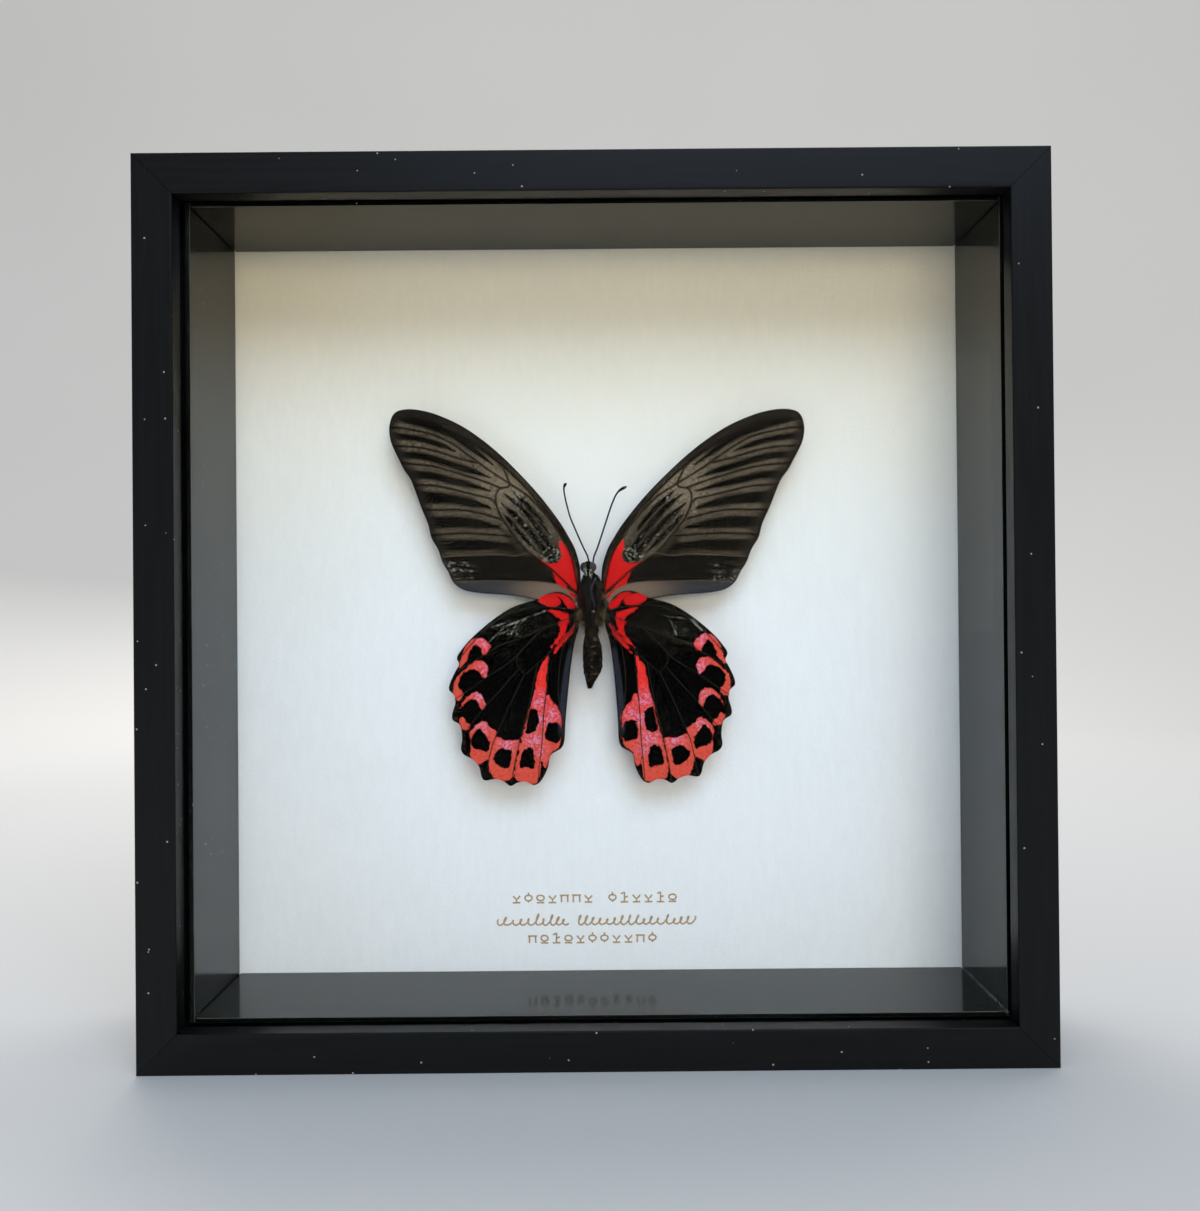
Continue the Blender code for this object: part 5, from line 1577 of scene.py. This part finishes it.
# painted glint: a pale pink spot at the very front of the head
painted_glint_cap = step(tree, depth, FACE + (PIN_FRONT + 0.15) * MM, FACE + (PIN_FRONT + 0.02) * MM)
wear = noise(tree, where(tree), 3000.0, 3.0)
enamel_and_glint = mixed(tree, painted_glint_cap, (0.14, 0.015, 0.015), (0.60, 0.28, 0.30))
metal = mixed(tree, wear, (0.50, 0.50, 0.50), (0.62, 0.61, 0.60))
paint(tree, shader, mixed(tree, bead, metal, enamel_and_glint))
tree.links.new(less(tree, 1.0, bead), shader.inputs["Metallic"])
roughen(tree, shader, wear, 0.2, 0.38)
finish_piece(pin, PIN_STEEL, "bright_steel", "insect_pin", smooth=40)

# %% [markdown]
# ## The label
#
# Three short rows of brown ink stand under the butterfly. They are generic marks of the size and
# weight of such a label: a few short strokes in each even cell of the two upright rows, and one
# running wave of uneven loops for the slanted row between them. Each stroke is a flattened tube.

# %% Ink marks on the card
CARD_DEPTH = 47.5
INK_HALF_WIDTH = 0.3
INK_THICKNESS, INK_SUNK = 0.03, 0.006      # all in millimetres
PRINTED = [(-25.6, 0.4, -94.4), (4.4, 27.6, -94.4), (-20.7, 21.5, -107.0)]
WRITTEN = [(-30.5, -8.5, -101.2), (-5.7, 31.2, -101.2)]
CELL_PITCH, MARK_WIDTH, MARK_HEIGHT = 3.75, 2.8, 2.9
LOOP_PITCH, LOOP_SLANT, LOOP_WIDTH = 2.3, 0.35, 0.62
INK_SEED = 8

RING = [(0.5 + 0.4 * sin(turn), 0.5 + 0.3 * cos(turn)) for turn in np.linspace(0, 2 * pi, 9)]
FOOT = [(0.08, 0.0), (0.92, 0.0)]
PRINTED_SHAPES = [
    [RING, FOOT], [RING, [(0.5, 0.8), (0.5, 1.1)], [(0.5, 0.2), (0.5, 0.0)]],
    [[(0.15, 0.0), (0.15, 0.75)], [(0.85, 0.0), (0.85, 0.75)], [(0.0, 0.75), (1.0, 0.75)]],
    [[(0.5, 0.0), (0.5, 1.05)], FOOT, [(0.5, 1.05), (0.12, 0.85)], [(0.5, 0.5), (0.88, 0.62)]],
    [[(0.1, 0.75), (0.5, 0.35), (0.9, 0.75)], [(0.5, 0.35), (0.5, 0.0)], FOOT],
    [[(0.1, 0.4), (0.9, 0.4)], [(0.2, 0.75), (0.8, 0.75)], FOOT],
]


def printed_marks(rng, left, right, foot):
    """One small generic mark in each cell of a printed row: a few short strokes, no letters."""
    marks = []
    for place in np.arange(left, right - MARK_WIDTH / 2, CELL_PITCH):
        for knots in PRINTED_SHAPES[rng.integers(len(PRINTED_SHAPES))]:
            across, rise = (np.array(knots) + rng.uniform(-0.02, 0.02, (len(knots), 2))).T
            marks.append(soft_path(np.c_[place + MARK_WIDTH * across, foot + MARK_HEIGHT * rise], parts=2))
    return marks


def written_mark(rng, left, right, foot):
    """A running, slanted wave of loops of uneven height."""
    along = np.linspace(0, 1, int((right - left) * 7))
    table = int(rng.integers(99))
    wander = 2.6 * speckle(np.c_[along * 30, along * 0], 4.0, table)
    swing = 2 * pi * along * (right - left) / LOOP_PITCH + wander
    height = 0.45 + 0.85 * speckle(np.c_[along * 60 + 7, along * 0 + 3], 4.0, table) ** 1.5
    rise = MARK_HEIGHT * height * (0.4 + 0.5 * np.sin(swing))
    across = left + (right - left) * along + LOOP_SLANT * rise + LOOP_WIDTH * np.cos(swing)
    return np.c_[across, foot + rise]


rng = np.random.default_rng(INK_SEED)
strokes = [mark for row in PRINTED for mark in printed_marks(rng, *row)]
strokes += [written_mark(rng, *row) for row in WRITTEN]
lines = [on_object(mark[:, 0], mark[:, 1], 0.0) for mark in strokes]
ink = curve_mesh("ink_marks", lines, INK_HALF_WIDTH * MM, 6)
co = coordinates(ink)
flat = (co[:, 1] - FACE) * INK_THICKNESS / INK_HALF_WIDTH / 2
co[:, 1] = flat + FACE + CARD_DEPTH * MM - INK_SUNK * MM
move_corners(ink, co)
INK, tree, shader = new_finish("brown_ink", Roughness=0.85, Specular_IOR_Level=0.2)
tone = noise(tree, where(tree), 2400.0, 3.0)
paint(tree, shader, mixed(tree, step(tree, tone, 0.35, 0.7), (0.33, 0.21, 0.11), (0.50, 0.35, 0.21)))
finish_piece(ink, INK, None, smooth=60)

# %% [markdown]
# ## Studio
#
# A wide pale bowl stands under and round the frame, so that the background is even from every side
# and the lacquer has something pale to reflect. Its flat floor is a disc, and its rim is drawn up in
# steps along a quarter circle and then straight on.

# %% Floor and background
BOWL_RADIUS, BOWL_RISE, BOWL_CURVE, BOWL_STEPS = 2.3, 1.1, 1.3, 12
bpy.ops.object.select_all(action="DESELECT")
bpy.ops.mesh.primitive_circle_add(vertices=96, radius=BOWL_RADIUS - BOWL_CURVE, fill_type="NGON")
bowl = bpy.context.object
bowl.name = bowl.data.name = "studio_bowl"
for number in range(1, BOWL_STEPS + 1):
    angle = pi / 2 * number / BOWL_STEPS
    edit(bowl, lambda edge: edge.is_boundary, "EDGE")
    reach = BOWL_RADIUS - BOWL_CURVE + BOWL_CURVE * sin(angle)
    height = BOWL_CURVE * (1 - cos(angle))
    bpy.ops.mesh.extrude_region_move()
    work = bmesh.from_edit_mesh(bowl.data)
    for vert in work.verts:
        if vert.select:
            vert.co = (vert.co.xy.normalized() * reach).to_3d() + Vector((0, 0, height))
    bmesh.update_edit_mesh(bowl.data)
    done()
edit(bowl, lambda edge: edge.is_boundary, "EDGE")
bpy.ops.mesh.extrude_region_move(TRANSFORM_OT_translate={"value": (0, 0, BOWL_RISE)})
done()
only(bowl)
bpy.ops.object.shade_smooth()
PAPER, tree, shader = new_finish("studio_paper", Roughness=0.85, Specular_IOR_Level=0.0)
tone = noise(tree, where(tree), 3.0, 0.0)
paint(tree, shader, mixed(tree, tone, (0.70, 0.69, 0.67), (0.73, 0.72, 0.70)))
bowl.data.materials.append(PAPER)
bowl.visible_diffuse = False              # the plain air lights as evenly, and renders faster
print("background:", len(bowl.data.polygons), "faces round a floor of", 2 * BOWL_RADIUS, "m")

# %% [markdown]
# A broad cool light above the camera throws the wings' soft shadows down on the card. A weaker warm
# one fills from the front, and a small blue one cools the card's right side. Two more wash the
# background and one lights the frame's back. Only the lights that should show in the glossy walls
# are mirrored. The warm one stands so near the background that it would burn a patch into it, so it
# passes the bowl by.

# %% Lights
COOL, WARM, BLUE, NEUTRAL = (0.60, 0.77, 1.0), (1.0, 0.85, 0.62), (0.30, 0.62, 1.0), (1.0, 0.98, 0.95)
AIR, AIR_STRENGTH = (0.95, 0.97, 1.0, 1), 0.42


def area_light(name, place, aim, size, power, tint, mirrored=True):
    light = bpy.data.lights.new(name, "AREA")
    light.shape = "RECTANGLE"
    light.size, light.size_y = size
    light.energy = power
    light.color = tint
    lamp = bpy.data.objects.new(name, light)
    bpy.context.scene.collection.objects.link(lamp)
    lamp.location = place
    lamp.visible_camera = False
    lamp.visible_glossy = mirrored
    lamp.rotation_euler = (Vector(aim) - Vector(place)).to_track_quat("-Z", "Y").to_euler()
    return lamp


MIDDLE = (0, 0, OUTER / 2)
area_light("cool_above", (0.22, -0.95, 0.98), MIDDLE, (1.0, 0.6), 7.2, COOL)
fill = area_light("warm_front", (0.2, -1.4, 0.2), MIDDLE, (0.9, 0.6), 6.2, WARM, mirrored=False)
area_light("blue_side", (-0.75, -0.6, 0.1), (0.08, 0, 0.1), (0.5, 0.5), 1.0, BLUE, mirrored=False)
area_light("back_wash", (0.3, 0.4, 1.9), (0, 2.3, 0.8), (1.2, 0.9), 9, NEUTRAL)
area_light("wall_wash", (0, 0.5, 1.6), (0, 1.75, 0.1), (1.8, 0.9), 9, NEUTRAL)
area_light("behind", (-0.4, 1.1, 0.9), MIDDLE, (1.0, 0.8), 7, NEUTRAL)
passed_by = bpy.data.collections.new("not_lit_by_the_fill")
passed_by.objects.link(bowl)
passed_by.collection_objects[0].light_linking.link_state = "EXCLUDE"
fill.light_linking.receiver_collection = passed_by
world = bpy.data.worlds.new("studio_air")
bpy.context.scene.world = world
world.use_nodes = True
world.node_tree.nodes["Background"].inputs["Color"].default_value = AIR
world.node_tree.nodes["Background"].inputs["Strength"].default_value = AIR_STRENGTH
